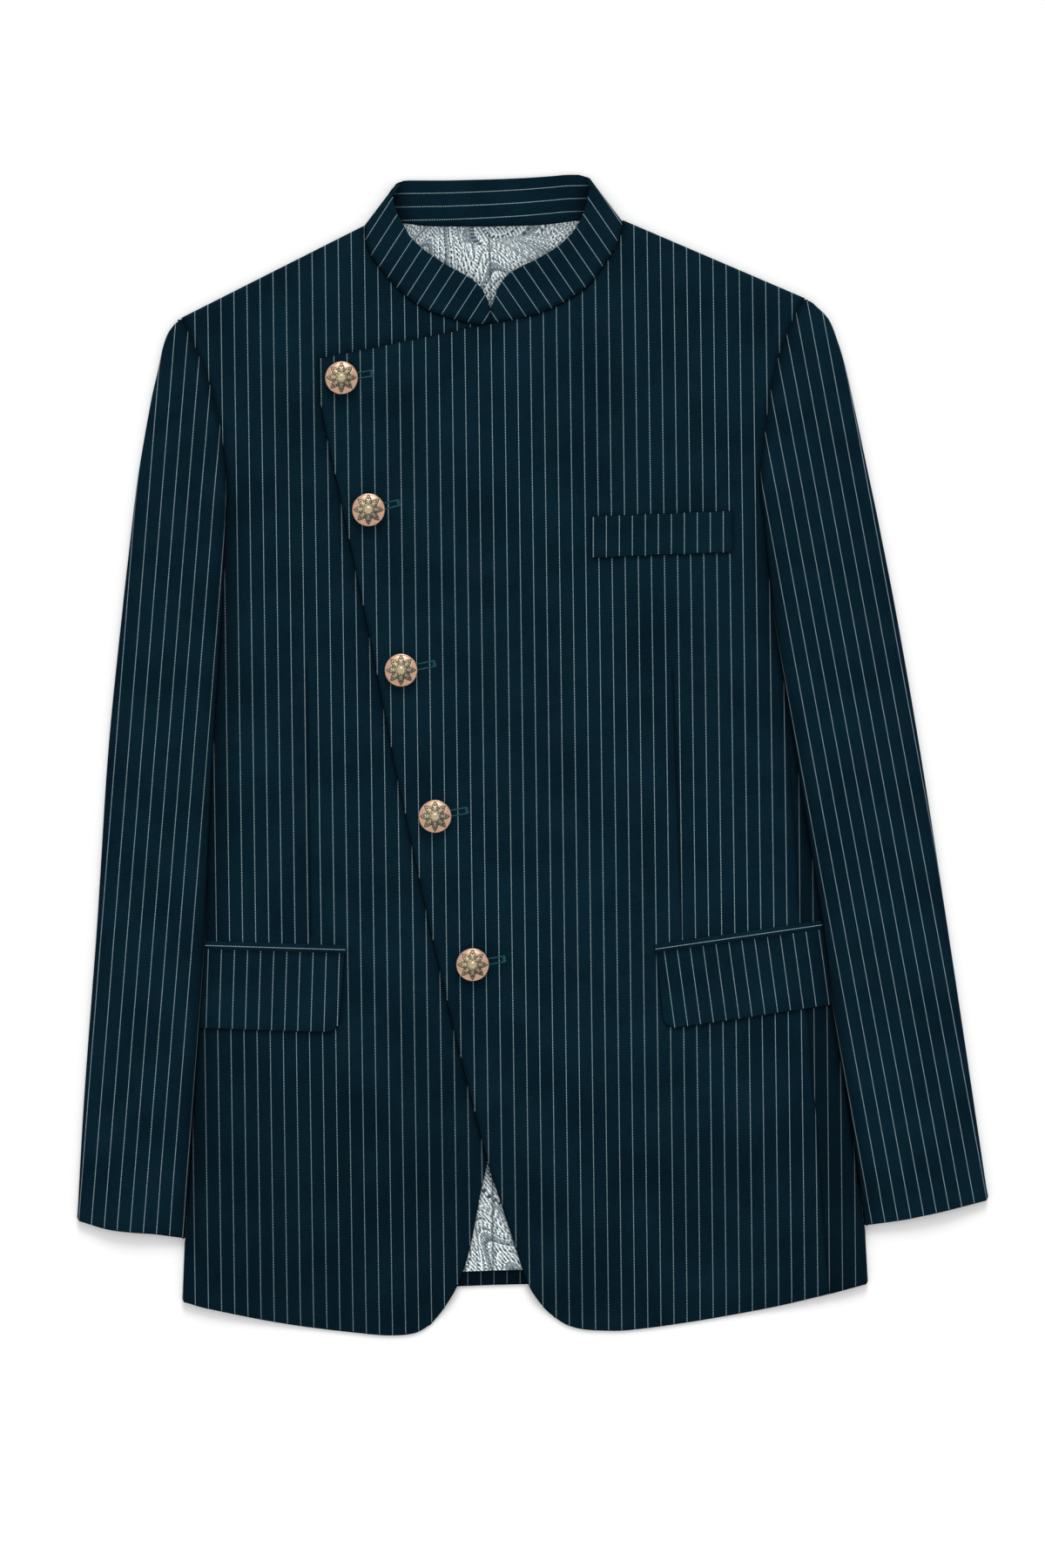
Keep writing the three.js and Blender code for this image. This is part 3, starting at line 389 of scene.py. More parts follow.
def shoulder_drop(line, x, y):
    """How far a place lies below a shoulder's edge."""
    (x0, y0), (x1, y1) = line
    slope = (y1 - y0) / (x1 - x0)
    return (y0 + slope * (x - x0) - y) / math.hypot(1, slope)


back_hem_line = curve(BACK_HEM)


def back_hem_at(x):
    return back_hem_line((np.asarray(x, float) - BACK_HEM[0][0]) / (BACK_HEM[2][0] - BACK_HEM[0][0]))[..., 1]


def settle(x, y):
    """Below the back's hem the fronts come down onto the surface."""
    inside = np.minimum(x - body_edge("right", y), body_edge("left", y) - x) - FOLD_RADIUS
    return FRONT_BASE * ease((back_hem_at(x) - 3 - y) / SETTLE_RUN) * ease(inside / SETTLE_SIDE_RUN)


def lay(x, y):
    """The slow unevenness of cloth that was smoothed by hand."""
    return sum(size * np.sin(2 * math.pi * (a * x + b * y) + c) for a, b, c, size in LAY_WAVES)


def dart(line, x, y):
    """A sewn dart: a fine valley along its line that dies out at its tip."""
    (x0, y0), (x1, y1) = line
    t = (y - y0) / (y1 - y0)
    away = np.abs(x - mix(x0, x1, t))
    live = ease(t / 0.25) * ease((1.02 - t) / 0.04)
    return live * (0.55 * np.exp(-((away / 1.1) ** 2)) - 0.12 * np.exp(-(((away - 4) / 3) ** 2)))


def front_face(x, y):
    """Height of the front layer's face."""
    (mx, my), (rx, ry) = NECK_RING["middle"], NECK_RING["reach"]
    ring = (np.hypot((x - mx) / rx, (y - my) / ry) - 1) * NECK_RING["size"]
    inside = (
        ease((x - body_edge("right", y) - FOLD_RADIUS) / SWELL_REACH["side"])
        * ease((body_edge("left", y) - FOLD_RADIUS - x) / SWELL_REACH["side"])
        * ease((shoulder_drop(RIGHT_SHOULDER, x, y) - FOLD_RADIUS) / SWELL_REACH["shoulder"])
        * ease((shoulder_drop(LEFT_SHOULDER, x, y) - FOLD_RADIUS) / SWELL_REACH["shoulder"])
        * ease(ring / SWELL_REACH["neck"])
        * ease((y - HEM_LEVEL) / SWELL_REACH["hem"])
    )
    grooves = dart(DARTS["left"], x, y) + dart(DARTS["right"], x, y)
    return FRONT_TOP + inside * (CHEST_SWELL + lay(x, y)) - settle(x, y) - grooves


def overlap_face(x, y):
    """The left front climbs over the right front's edge."""
    past = ease((x - underlap_x(y) - 1.5) / OVERLAP_RUN)
    return front_face(x, y) + OVERLAP_RISE * (1 - past)


def run_from(points, axis, backwards=False):
    """Distance of each grid point from the grid's first (or last) row or column, along the grid."""
    step = np.linalg.norm(np.diff(points, axis=axis), axis=-1)
    if backwards:
        step = np.flip(step, axis)
    total = np.cumsum(step, axis=axis)
    zero = np.zeros_like(np.take(total, [0], axis=axis))
    run = np.concatenate([zero, total], axis=axis)
    return np.flip(run, axis) if backwards else run


def seam_sink(run, depth=0.6, width=1.5):
    """How far a face sinks into a sewn seam, with the slight fullness beside it."""
    return depth * np.exp(-((run / width) ** 2)) - 0.12 * np.exp(-(((run - 4.5) / 2.6) ** 2))


def pressed_edge(run):
    """A turned and pressed edge: thin at the fold, with the soft ridge of what is turned in."""
    return 0.35 * np.exp(-((run / 1.6) ** 2)) - 0.16 * np.exp(-(((run - 6.5) / 3.2) ** 2))


def fold(edge, inward, radius, reach=None, lift=0.0, turn=FOLD_TURN, angle=math.pi, stops=(), under=None):
    """Rows of points round a fold: from the top face to the underside, then back under the piece."""
    edge, inward = np.asarray(edge, float), np.broadcast_to(np.asarray(inward, float), np.shape(edge))
    n = len(edge)
    reach = np.broadcast_to(radius if reach is None else reach, n)
    lift, angle = np.broadcast_to(lift, n), np.broadcast_to(angle, n)
    turned = np.linspace(0, 1, turn + 1)[None] * angle[:, None]
    plan = edge[:, None] + inward[:, None] * (reach[:, None] * (1 - np.sin(turned)))[..., None]
    height = lift[:, None] + radius * (1 + np.cos(turned))
    rows = [np.concatenate([plan, height[..., None]], axis=-1)]
    for run in stops:
        run = np.broadcast_to(run, n)
        at = edge + inward * run[:, None]
        z = lift if under is None else under(run)
        rows.append(np.concatenate([at, np.broadcast_to(z, n)[:, None]], axis=-1)[:, None])
    return np.concatenate(rows, axis=1)


def unrolled(start, outward, rows):
    """Plan places that a folded run would have if it were opened flat."""
    run = run_from(rows, 1)
    outward = np.broadcast_to(np.asarray(outward, float), np.shape(start))
    return start[:, None] + outward[:, None] * run[..., None]


def on_grain(name, flat):
    """Stripe coordinates in millimetres: the first across the stripes, the second along them."""
    g = GRAIN[name]
    tilt = math.radians(g["tilt"])
    x, y = flat[..., 0] - g["through"][0], flat[..., 1] - g["through"][1]
    across = (x * math.cos(tilt) + y * math.sin(tilt)) / g["pitch"]
    return np.stack([across, -x * math.sin(tilt) + y * math.cos(tilt)], axis=-1)


def link(made):
    bpy.context.scene.collection.objects.link(made)
    return made


def mesh_object(name, points, faces, uv=None, marks=None):
    """An object from points in millimetres, with uv for each corner and marks for each point."""
    mesh = bpy.data.meshes.new(name)
    mesh.from_pydata((np.asarray(points) * MM).tolist(), [], faces)
    mesh.update()
    if uv is not None:
        layer = mesh.uv_layers.new(name="Cloth")
        layer.data.foreach_set("uv", np.asarray(uv, np.float32).ravel())
    for label, values in (marks or {}).items():
        layer = mesh.attributes.new(label, "FLOAT", "POINT")
        layer.data.foreach_set("value", np.asarray(values, np.float32).ravel())
    mesh.shade_smooth()
    return link(bpy.data.objects.new(name, mesh))


def cloth(name, face, stripes, thick, live=None, painted_shade=0.0, other=None):
    """A wall of cloth from a grid of points on its outer face, with its rim rounded over.

    live tells which cells are cloth, stripes holds each point's stripe coordinates, and the argument after
    live how much painted shade darkens the colour at each point. other = (cells, coordinates) gives some
    cells their own stripe coordinates.
    """
    rows, cols = face.shape[:2]
    index = np.arange(rows * cols).reshape(rows, cols)
    quads = np.stack([index[:-1, :-1], index[:-1, 1:], index[1:, 1:], index[1:, :-1]], axis=-1)
    keep = np.ones((rows - 1, cols - 1), bool) if live is None else live
    quads = quads[keep]
    outer = face.reshape(-1, 3)
    across = outer[quads[:, 2]] - outer[quads[:, 0]]
    normal = np.cross(across, outer[quads[:, 3]] - outer[quads[:, 1]])
    facing = np.zeros_like(outer)
    for corner in range(4):
        np.add.at(facing, quads[:, corner], normal)
    facing = unit(facing)
    inner = outer - facing * thick
    edges = np.concatenate([quads[:, [k, (k + 1) % 4]] for k in range(4)])
    owner = np.tile(np.arange(len(quads)), 4)
    code = edges[:, 0] * len(outer) + edges[:, 1]
    twin = edges[:, 1] * len(outer) + edges[:, 0]
    free = ~np.isin(code, twin)
    rim, rim_owner = edges[free], owner[free]
    outward = np.zeros_like(outer)
    direction = unit(outer[rim[:, 1]] - outer[rim[:, 0]])
    for end in range(2):
        np.add.at(outward, rim[:, end], np.cross(direction, facing[rim[:, end]]))
    outward = unit(outward)
    bulge = min(thick * RIM_BULGE, RIM_BULGE_MOST)
    on_rim = np.unique(rim)
    place = np.full(len(outer), -1)
    place[on_rim] = np.arange(len(on_rim))
    middle, half = (outer + inner)[on_rim] / 2, (outer - inner)[on_rim] / 2
    rings = []
    for step in range(1, RIM_STEPS + 1):
        turned = math.pi * step / (RIM_STEPS + 1)
        rings.append(middle + half * math.cos(turned) + outward[on_rim] * bulge * math.sin(turned))
    count = len(outer)
    points = np.concatenate([outer, inner] + rings)
    # Nothing reaches below the surface.
    points[:, 2] = np.maximum(points[:, 2], 0)
    levels = [lambda v: v]
    for step in range(RIM_STEPS):
        levels.append(lambda v, step=step: 2 * count + step * len(on_rim) + place[v])
    levels.append(lambda v: v + count)
    faces = [quads, quads[:, ::-1] + count]
    for above, below in zip(levels, levels[1:]):
        corners = [above(rim[:, 1]), above(rim[:, 0]), below(rim[:, 0]), below(rim[:, 1])]
        faces.append(np.stack(corners, axis=-1))
    faces = np.concatenate(faces)
    used, faces = np.unique(faces, return_inverse=True)
    faces = faces.reshape(-1, 4)
    base = np.concatenate([np.arange(count), np.arange(count)] + [on_rim] * RIM_STEPS)[used]
    uv = stripes.reshape(-1, 2)[base[faces]]
    if other is not None:
        cells, coordinates = other
        owners = np.concatenate([np.arange(len(quads))] * 2 + [rim_owner] * (RIM_STEPS + 1))
        changed = cells[keep][owners]
        uv[changed] = coordinates.reshape(-1, 2)[base[faces[changed]]]
    # Painted shade for each point, and on the rim at least the rims' painted shade, which outlines each piece
    # in dark.
    dark = np.broadcast_to(painted_shade, (rows, cols)).reshape(-1)
    dark = np.concatenate([dark, dark] + [np.maximum(dark[on_rim], RIM_PAINTED_SHADE)] * RIM_STEPS)[used]
    return mesh_object(name, points[used], faces.tolist(), uv, {"painted_shade": dark})


def raised(plan, height):
    """Points in plan with their heights."""
    return np.concatenate([plan, np.broadcast_to(height, plan.shape[:-1])[..., None]], axis=-1)


def line_distance(x, y, line):
    """Distance of points in plan from a line of points."""
    best = np.full(np.shape(x), 1e9)
    for (ax, ay), (bx, by) in zip(line, line[1:]):
        dx, dy = bx - ax, by - ay
        t = np.clip(((x - ax) * dx + (y - ay) * dy) / (dx * dx + dy * dy), 0, 1)
        best = np.minimum(best, np.hypot(x - ax - t * dx, y - ay - t * dy))
    return best


def painted_shade_beside(place, *marks):
    """Painted shade beside lines in plan, as the share of light taken from the colour: each mark is (line,
    width, strength).
    """
    x, y = place[..., 0], place[..., 1]
    lost = np.zeros(x.shape)
    for line, width, strength in marks:
        lost = np.maximum(lost, strength * np.exp(-((line_distance(x, y, line) / width) ** 2)))
    return lost


def darker_below(lost, place, level, most):
    """Adds the broad shade that deepens from a level down to the hem."""
    return 1 - (1 - lost) * (1 - most * ease((level - place[..., 1]) / SHADE_RUN))


def dart_columns(sheet, u, v, line):
    """Adds close columns to a front's grid where its dart runs."""
    (x0, y0), (x1, y1) = line
    coarse = sheet(u, v)
    row = np.argmin(np.abs(coarse[:, len(u) // 2, 1] - (y0 + y1) / 2))
    wide = coarse[row, -1, 0] - coarse[row, 0, 0]
    middle = np.interp((x0 + x1) / 2, coarse[row, :, 0], u)
    near = middle + np.array([-3.2, -1.7, -0.8, 0, 0.8, 1.7, 3.2]) / wide
    clear = np.abs(u[:, None] - near[None]).min(axis=1) > 1.2 / wide
    return np.sort(np.concatenate([u[clear], near]))


def follow_dart(plan, line):
    """Shifts a front's columns so that the nearest one runs along the dart."""
    (x0, y0), (x1, y1) = line
    t = np.clip((plan[..., 1] - y0) / (y1 - y0), -0.3, 1.3)
    target = mix(x0, x1, t)
    beside = np.abs(plan[..., 0] - target) + 1e3 * ((t < 0) | (t > 1))
    row = np.unravel_index(np.argmin(np.where(np.abs(t - 0.5) < 0.02, beside, 1e6)), beside.shape)
    own = plan[:, row[1] : row[1] + 1, 0]
    pull = ease((t + 0.3) / 0.3) * ease((1.3 - t) / 0.3) * np.exp(-(((plan[..., 0] - own) / 18) ** 2))
    plan[..., 0] += (target[:, row[1] : row[1] + 1] - own) * pull
    return plan


def corner_round(v):
    """How far the foot of a side fold is drawn up, so that the hem's corner is round."""
    turned = np.sin(np.linspace(0, math.pi, FOLD_TURN + 1)) ** 2
    return CORNER_ROUND * ease(1 - v / 0.012)[:, None] * turned[None]


def round_side(edge, inward, v, last):
    """A body piece's run round its side and on under the back, from the last column of its face."""
    run = fold(edge, inward, FOLD_RADIUS, stops=[UNDER_FOLD, SIDE_WRAP])
    run[:, : FOLD_TURN + 1, 1] += corner_round(v)
    run[:, 0] = last
    return run


def shoulder_turn(line, seam_line):
    """The line along a shoulder at which a front begins to turn over it."""
    shoulder, seam = curve(line), curve(seam_line)
    return lambda s: shoulder(s) + unit(seam(s) - shoulder(s)) * FOLD_RADIUS


def over_shoulder(line, seam_line, s, top_row, plan_row):
    """A front's run over the shoulder to the seam behind it, and the same run opened flat."""
    shoulder, seam = curve(line)(s), curve(seam_line)(s)
    inward = unit(seam - shoulder)
    run = fold(shoulder, inward, FOLD_RADIUS, stops=[OVER_SHOULDER, np.linalg.norm(seam - shoulder, axis=1)])
    run[:, 0] = top_row
    return run, unrolled(plan_row, -inward, run)


def front_right():
    """The wearer's right front: under the lap, round the side and over the shoulder."""
    underarm, neck_point = UNDERARM_SHARE, 0.5
    v = stretches((520, 185), (0, underarm, 1), SHELL_CELL, (True, False))
    u = stretches((140, 120), (0, neck_point, 1), (4.2, 3.6), (False, True))
    inset_shoulder = shoulder_turn(RIGHT_SHOULDER, RIGHT_SHOULDER_SEAM)

    def inset_side(s):
        y = mix(RIGHT_HEM[0][1], UNDERARM_LEVEL, s)
        return np.stack([body_edge("right", y) + FOLD_RADIUS, y], axis=-1)

    tip, hip = inset_shoulder(np.array([0.0])), inset_side(np.array([1.0]))
    armhole = curve(np.concatenate([hip, np.array(RIGHT_ARMHOLE[1:-1]) + [SEAM_GAP, 0], tip]))
    neck = curve(np.concatenate([inset_shoulder(np.array([1.0])), RIGHT_NECK[1:]]))
    sheet = patch(
        bottom=curve([tuple(inset_side(0.0))] + RIGHT_HEM[1:]),
        right=curve(RIGHT_FRONT_EDGE),
        top=joined([inset_shoulder, neck], [0, neck_point, 1]),
        left=joined([inset_side, armhole], [0, underarm, 1]),
        hold=(3.5, 1),
    )
    u = dart_columns(sheet, u, v, DARTS["right"])
    plan = follow_dart(sheet(u, v), DARTS["right"])
    face = raised(plan, front_face(plan[..., 0], plan[..., 1]))
    # The armhole seam begins above the underarm; below it the cloth runs on round the side.
    seam_from, seam_run = 165, 15
    above = np.clip((plan[..., 1] - seam_from) / seam_run, 0, 1)
    face[..., 2] -= seam_sink(run_from(face, 1)) * above
    face[..., 2] -= pressed_edge(run_from(face, 1, True))
    face[..., 2] -= pressed_edge(run_from(face, 0))
    neck_cols = u >= neck_point - 1e-9
    face[..., 2] -= np.where(neck_cols[None], seam_sink(run_from(face, 0, True)), 0)
    edge = np.stack([body_edge("right", plan[:, 0, 1]), plan[:, 0, 1]], axis=-1)
    side = round_side(edge, (1, 0), v, face[:, 0])
    side_flat = unrolled(plan[:, 0], (-1, 0), side)
    s = np.clip(u / neck_point, 0, 1)
    over, over_flat = over_shoulder(RIGHT_SHOULDER, RIGHT_SHOULDER_SEAM, s, face[-1], plan[-1])
    turned = side.shape[1] - 1
    rows, cols = len(v) + turned, len(u) + turned
    full, flat = np.zeros((rows, cols, 3)), np.zeros((rows, cols, 2))
    full[: len(v), turned:], flat[: len(v), turned:] = face, plan
    full[: len(v), :turned], flat[: len(v), :turned] = side[:, :0:-1], side_flat[:, :0:-1]
    full[len(v) :, turned:] = over[:, 1:].swapaxes(0, 1)
    flat[len(v) :, turned:] = over_flat[:, 1:].swapaxes(0, 1)
    live = np.zeros((rows - 1, cols - 1), bool)
    live[: len(v) - 1, turned:] = True
    live[: np.searchsorted(v, underarm - 1e-6), :turned] = True
    live[len(v) - 1 :, turned : turned + np.searchsorted(u, neck_point - 1e-6)] = True
    # Painted shade: beside the lap's edge and the sleeve, along the armhole, neck, pocket and dart, and
    # deepening towards the hem.
    lost = painted_shade_beside(
        full, (LAP_EDGE, 4.5, 0.34), (LAP_EDGE, 1.5, 0.5), (SLEEVES["right"]["inner"], 11, 0.45),
        (RIGHT_ARMHOLE, 2.4, 0.5), (RIGHT_NECK, 2.8, 0.45), (pocket_outline("right"), 3, 0.3),
        (DARTS["right"], 1.0, 0.62),
    )
    lost = darker_below(lost, full, -120, 0.22)
    return cloth("front_right_cloth", full, on_grain("front_right", flat), SHELL_CLOTH, live, lost)


def front_left():
    """The wearer's left front: on top, from its slanting edge to the side seam."""
    seam_end, corners = 0.76, (0.31, 0.64)
    v = stretches((535, 175), (0, seam_end, 1), SHELL_CELL, (True, False))
    u = stretches((120, 120, 135), (0, *corners, 1), FRONT_CELL)
    inset_shoulder = shoulder_turn(LEFT_SHOULDER, LEFT_SHOULDER_SEAM)
    tip = inset_shoulder(np.array([1.0]))
    armhole = curve(np.concatenate([np.array(LEFT_ARMHOLE[1:-1]) - [SEAM_GAP, 0], tip]))
    neck = curve(np.concatenate([LEFT_NECK[:-1], inset_shoulder(np.array([0.0]))]))
    sheet = patch(
        bottom=curve(LEFT_HEM),
        left=curve(LEFT_FRONT_EDGE),
        top=joined([curve(LEFT_TOP_EDGE), neck, inset_shoulder], [0, *corners, 1]),
        right=joined([curve(LEFT_SIDE_SEAM), armhole], [0, seam_end, 1]),
        hold=(1, 3),
    )
    u = dart_columns(sheet, u, v, DARTS["left"])
    plan = follow_dart(sheet(u, v), DARTS["left"])
    face = raised(plan, overlap_face(plan[..., 0], plan[..., 1]))
    face[..., 2] -= pressed_edge(run_from(face, 1))
    face[..., 2] -= pressed_edge(run_from(face, 0))
    face[..., 2] -= seam_sink(run_from(face, 1, True))
    from_top = run_from(face, 0, True)
    at_neck = np.where(u < corners[1] + 1e-9, seam_sink(from_top), 0)
    face[..., 2] -= np.where(u < corners[0], pressed_edge(from_top), at_neck)
    s = np.clip((u - corners[1]) / (1 - corners[1]), 0, 1)
    over, over_flat = over_shoulder(LEFT_SHOULDER, LEFT_SHOULDER_SEAM, s, face[-1], plan[-1])
    full = np.concatenate([face, over[:, 1:].swapaxes(0, 1)])
    flat = np.concatenate([plan, over_flat[:, 1:].swapaxes(0, 1)])
    live = np.ones((len(full) - 1, len(u) - 1), bool)
    live[len(v) - 1 :, : np.searchsorted(u, corners[1] - 1e-6)] = False
    # Painted shade: beside the lap's edge and the sleeve, along the armhole, side seam, neck, pocket, welt
    # and dart, and deepening towards the hem.
    lost = painted_shade_beside(
        full, (LAP_EDGE, 1.3, 0.3), (SLEEVES["left"]["inner"], 8, 0.32), (LEFT_ARMHOLE, 2.4, 0.5),
        (LEFT_SIDE_SEAM, 1.4, 0.5), (LEFT_NECK, 2.8, 0.45), (pocket_outline("left"), 3, 0.3),
        (welt_outline(), 2.6, 0.25), (DARTS["left"], 1.0, 0.62),
    )
    lost = darker_below(lost, full, -150, 0.14)
    return cloth("front_left_cloth", full, on_grain("front_left", flat), SHELL_CLOTH, live, lost)


def side_left():
    """The left side panel: from the seam in front round the side fold to the back."""
    v = shares(525, 5.0)
    u = shares(28, 3.4, 0, 1, (True, False))
    front = curve(LEFT_SIDE_SEAM)(v) + [SEAM_GAP * 2, 0]
    y = mix(BODY_BELOW_CUFF["left"][0][0], UNDERARM_LEVEL, v)
    edge = np.stack([body_edge("left", y), y], axis=-1)
    inset = edge - [FOLD_RADIUS, 0]
    plan = mix(front[:, None], inset[:, None], u[None, :, None])
    face = raised(plan, front_face(plan[..., 0], plan[..., 1]))
    face[..., 2] -= seam_sink(run_from(face, 1)) + pressed_edge(run_from(face, 0))
    side = round_side(edge, (-1, 0), v, face[:, -1])
    full = np.concatenate([face, side[:, 1:]], axis=1)
    flat = np.concatenate([plan, unrolled(plan[:, -1], (1, 0), side)[:, 1:]], axis=1)
    # Painted shade: the whole side panel darkened, and more along its seam and beside the sleeve.
    lost = np.maximum(0.42, painted_shade_beside(full, (LEFT_SIDE_SEAM, 1.5, 0.6), (SLEEVES["left"]["inner"], 9, 0.55)))
    return cloth("side_left_cloth", full, on_grain("side_left", flat), SHELL_CLOTH, painted_shade=lost)


def back_half(side, layer):
    """Half of the back, or of its lining, flat between the centre seam and the side."""
    base, thick, inset, hem_rise = BACK_LAYERS[layer].values()
    out = SLEEVES[side]["out"]
    underarm, neck_point = UNDERARM_SHARE, 0.58 if side == "right" else 0.6
    centre = curve(CENTRE_BACK)
    centre_foot = np.array([CENTRE_BACK[0][0] + out * SEAM_GAP, back_hem_at(CENTRE_BACK[0][0]) + hem_rise])

    def centre_line(s):
        line = centre(s) + [out * SEAM_GAP, 0]
        start = np.clip(1 - np.asarray(s, float) / 0.05, 0, 1)[..., None]
        return mix(line, centre_foot + (line - centre(0) - [out * SEAM_GAP, 0]), start)

    seam = RIGHT_SHOULDER_SEAM if side == "right" else LEFT_SHOULDER_SEAM[::-1]
    neck = BACK_NECK[:4] if side == "right" else BACK_NECK[3:][::-1]
    neck_row = [BACK_NECK_CORNER[side], *neck[:-1], tuple(centre_line(1.0) + [0, inset])]
    shoulder_line = curve([(x, y - LAYER_GAP - inset) for x, y in seam])
    neck_line = curve([(x, y - inset) for x, y in neck_row])
    foot = BACK_HEM[0 if side == "right" else 2][0]

    def side_line(s):
        y = mix(back_hem_at(foot) + hem_rise, UNDERARM_LEVEL, s)
        return np.stack([body_edge(side, y) - out * (SIDE_WRAP + 0.5 + inset), y], axis=-1)

    hip = side_line(np.array([1.0]))
    inner_armhole = curve(SLEEVES[side]["armhole"])(np.linspace(0.1, 0.93, 9)) - [out * (0.4 + inset), 0]
    arm_line = curve(np.concatenate([hip, inner_armhole, shoulder_line(np.array([0.0]))]))
    u = stretches((125, 90), (0, neck_point, 1), (5, 4))
    v = stretches((515, 230), (0, underarm, 1), (6, 5))
    first_x = side_line(np.array([0.0]))[0, 0]

    def hem(s):
        x = mix(first_x, centre_foot[0], s)
        return np.stack([x, back_hem_at(x) + hem_rise], axis=-1)

    plan = patch(
        bottom=hem,
        top=joined([shoulder_line, neck_line], [0, neck_point, 1]),
        left=joined([side_line, arm_line], [0, underarm, 1]),
        right=centre_line,
    )(u, v)
    face = raised(plan, base + thick)
    face[..., 2] -= min(base, 0.25) * np.exp(-(run_from(face, 1, True) ** 2))
    if out > 0:
        face, plan = face[:, ::-1], plan[:, ::-1]
    name = layer + "_" + side
    # Painted shade: the back, seen only at its hem strip, darkened as if in shade; the lining darker under
    # the collar and neck, beside the fronts' edges and along the centre seam.
    lost = BACK_SHADE
    if layer == "lining":
        in_neck = [c[1] for c in COLLAR_ARM_RIGHT] + [c[1] for c in COLLAR_ARM_LEFT]
        lost = painted_shade_beside(
            face, (in_neck, 5, 0.4), (BACK_NECK, 7, 0.5), (LEFT_FRONT_EDGE[:7], 4, 0.25),
            (RIGHT_FRONT_EDGE[1:8], 4, 0.25), (CENTRE_BACK, 0.9, 0.75),
        )
    return cloth(name + "_cloth", face, on_grain(layer, plan), thick, painted_shade=lost)


def cuff_at(side, x):
    """The level of a sleeve's cuff at x."""
    line = curve(np.array(SLEEVES[side]["cuff"])[:: -SLEEVES[side]["out"]])(np.linspace(0, 1, 100))
    return np.interp(x, line[:, 0], line[:, 1])


def at_cuff(v):
    """One at the cuff's row, and nothing above the rows that follow it."""
    return ease(1 - v / CUFF_SHARE)[:, None]


def sleeve_plan(side):
    """The outer and inner edge of a sleeve, as functions of the share v from the cuff to the shoulder."""
    s = SLEEVES[side]
    shows = SLEEVE_SHOWS_SHARE
    outer = joined([curve(s["outer"]), curve(s["head"])], [0, shows, 1])
    cap = curve([s["seam_shows"]] + [p for p in s["armhole"] if p[1] > s["seam_shows"][1] + 4])
    inner = joined([curve(s["inner"]), lambda t: cap(t) + [s["out"] * SEAM_GAP, 0]], [0, shows, 1])
    return s, shows, outer, inner


